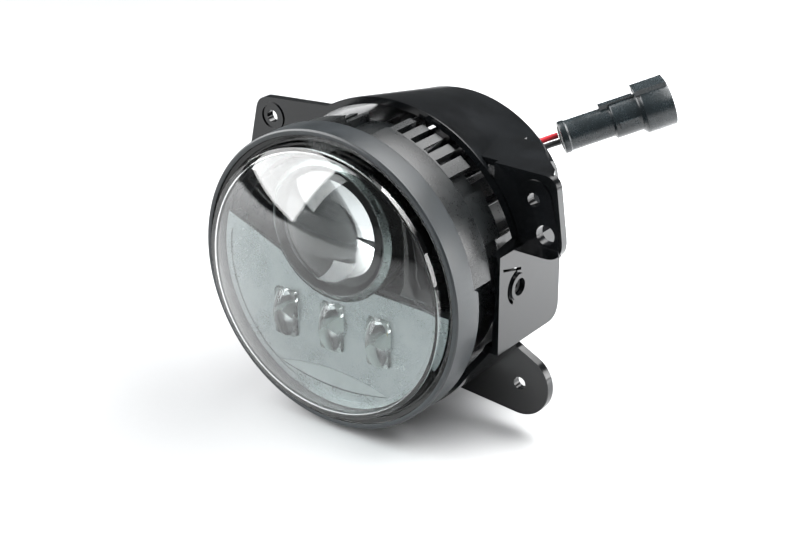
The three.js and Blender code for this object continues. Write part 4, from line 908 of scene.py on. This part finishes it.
def makeCoverScrews():
    head = cover["screwHead"]
    outline = eased([(0, 57.9), (1.2, 57.9, 0.1), (1.6, 58.6, 0.1), (1.6, head), (2.9, head, 0.2),
                     (2.9, 67.5, 0.3), (2.3, 68.5, 0.4), (0, 68.6)], 3)
    for number, (x, z) in enumerate(coverScrewPlaces, 1):
        bars = [(cut, block((x - wide, x + wide), (67.5, 70), (z - high, z + high)))
                for wide, high in ((1.7, 0.32), (0.32, 1.7))]
        finished("cover_screw_" + str(number), carved(lathe(outline, 40, x, z), bars), "zincSteel", 0.06)


def makeGlandAndVent():
    outline = [(0, 61.6), (4.3, 61.6, 0.2), (4.3, 66.9), (5.6, 66.9, 0.3), (5.6, 68.9, 0.4), (4.9, 69.4, 0.3),
               (4.85, 71, 0.2), (4.2, 71.3, 0.2), (4.2, 72.3, 0.2), (4.7, 72.6, 0.2), (4.6, 74, 0.2),
               (4, 74.3, 0.2), (4, 75.3, 0.2), (4.4, 75.6, 0.2), (4.3, 77, 0.2), (3.9, 77.3, 0.2),
               (3.9, 79.9, 0.5), (0, 79.9)]
    finished("cable_gland", lathe(eased(outline, 3), 64, *cover["gland"]), "sealBlack")
    x, z = cover["vent"]
    outline = eased([(0, 62.1), (3.4, 62.1, 0.2), (3.4, 66.9), (4.4, 66.9, 0.2), (4.4, 68.2, 0.4),
                     (3.9, 68.7, 0.2), (0, 68.7)], 3)
    slits = []
    for i in range(6):
        slit = turned(block((2.2, 3.4), (67.9, 70), (-0.35, 0.35)), math.radians(60 * i))
        bmesh.ops.translate(slit, verts=slit.verts, vec=(x, 0, z))
        slits.append((cut, slit))
    finished("breather_vent", carved(lathe(outline, 48, x, z), slits), "sealBlack", 0.1)


# Aiming screw with its clip, and the nut that it drives
aiming = {"tip": 27, "turns": 34, "pitch": 1.5, "root": 2.05, "crest": 2.5, "head": 4.6, "headFront": 83.3,
          "headBack": 87.2}


def makeAiming():
    z, tip, root, crest = housing["screwZ"], aiming["tip"], aiming["root"], aiming["crest"]
    head, headFront, headBack = aiming["head"], aiming["headFront"], aiming["headBack"]
    outline = [(0, tip), (1.6, tip)]
    for i in range(aiming["turns"]):
        y = tip + 1.2 + aiming["pitch"] * i
        outline += [(root, y), (crest, y + 0.55), (crest, y + 0.75), (root, y + 1.3)]
    rest = eased([(crest, 79.4, 0.2), (crest, headFront), (head, headFront, 0.2), (head, headBack, 0.4),
                  (3.9, 87.9, 0.2), (0, 87.9)], 3)
    outline += [tuple(point) for point in rest]
    screw = carved(lathe(outline, 40, 0, z), [(cut, rod(2.4, 86.4, 89, 0, z, 6))])
    finished("aiming_screw", screw, "zincSteel", smooth=28, body="aiming_screw_body")
    ring = plate(arc(4.1, -60, 240, 36, 0, z) + arc(2.8, 240, -60, 36, 0, z), 77.7, 78.7)
    finished("screw_clip", ring, "zincSteel", 0.1, body="aiming_screw_body")
    outline = eased([(3, 30.1, 0.2), (5, 30.1, 0.3), (5, 31.7, 0.3), (4.1, 31.7), (4.1, 39.1, 0.3),
                     (3, 39.1, 0.2)], 3)
    finished("adjuster_nut", lathe(outline, 64, 0, z), "nylonNatural")


makeDriver()
makeRearCover()
makeCoverScrews()
makeGlandAndVent()
makeAiming()
print("rear and aiming")
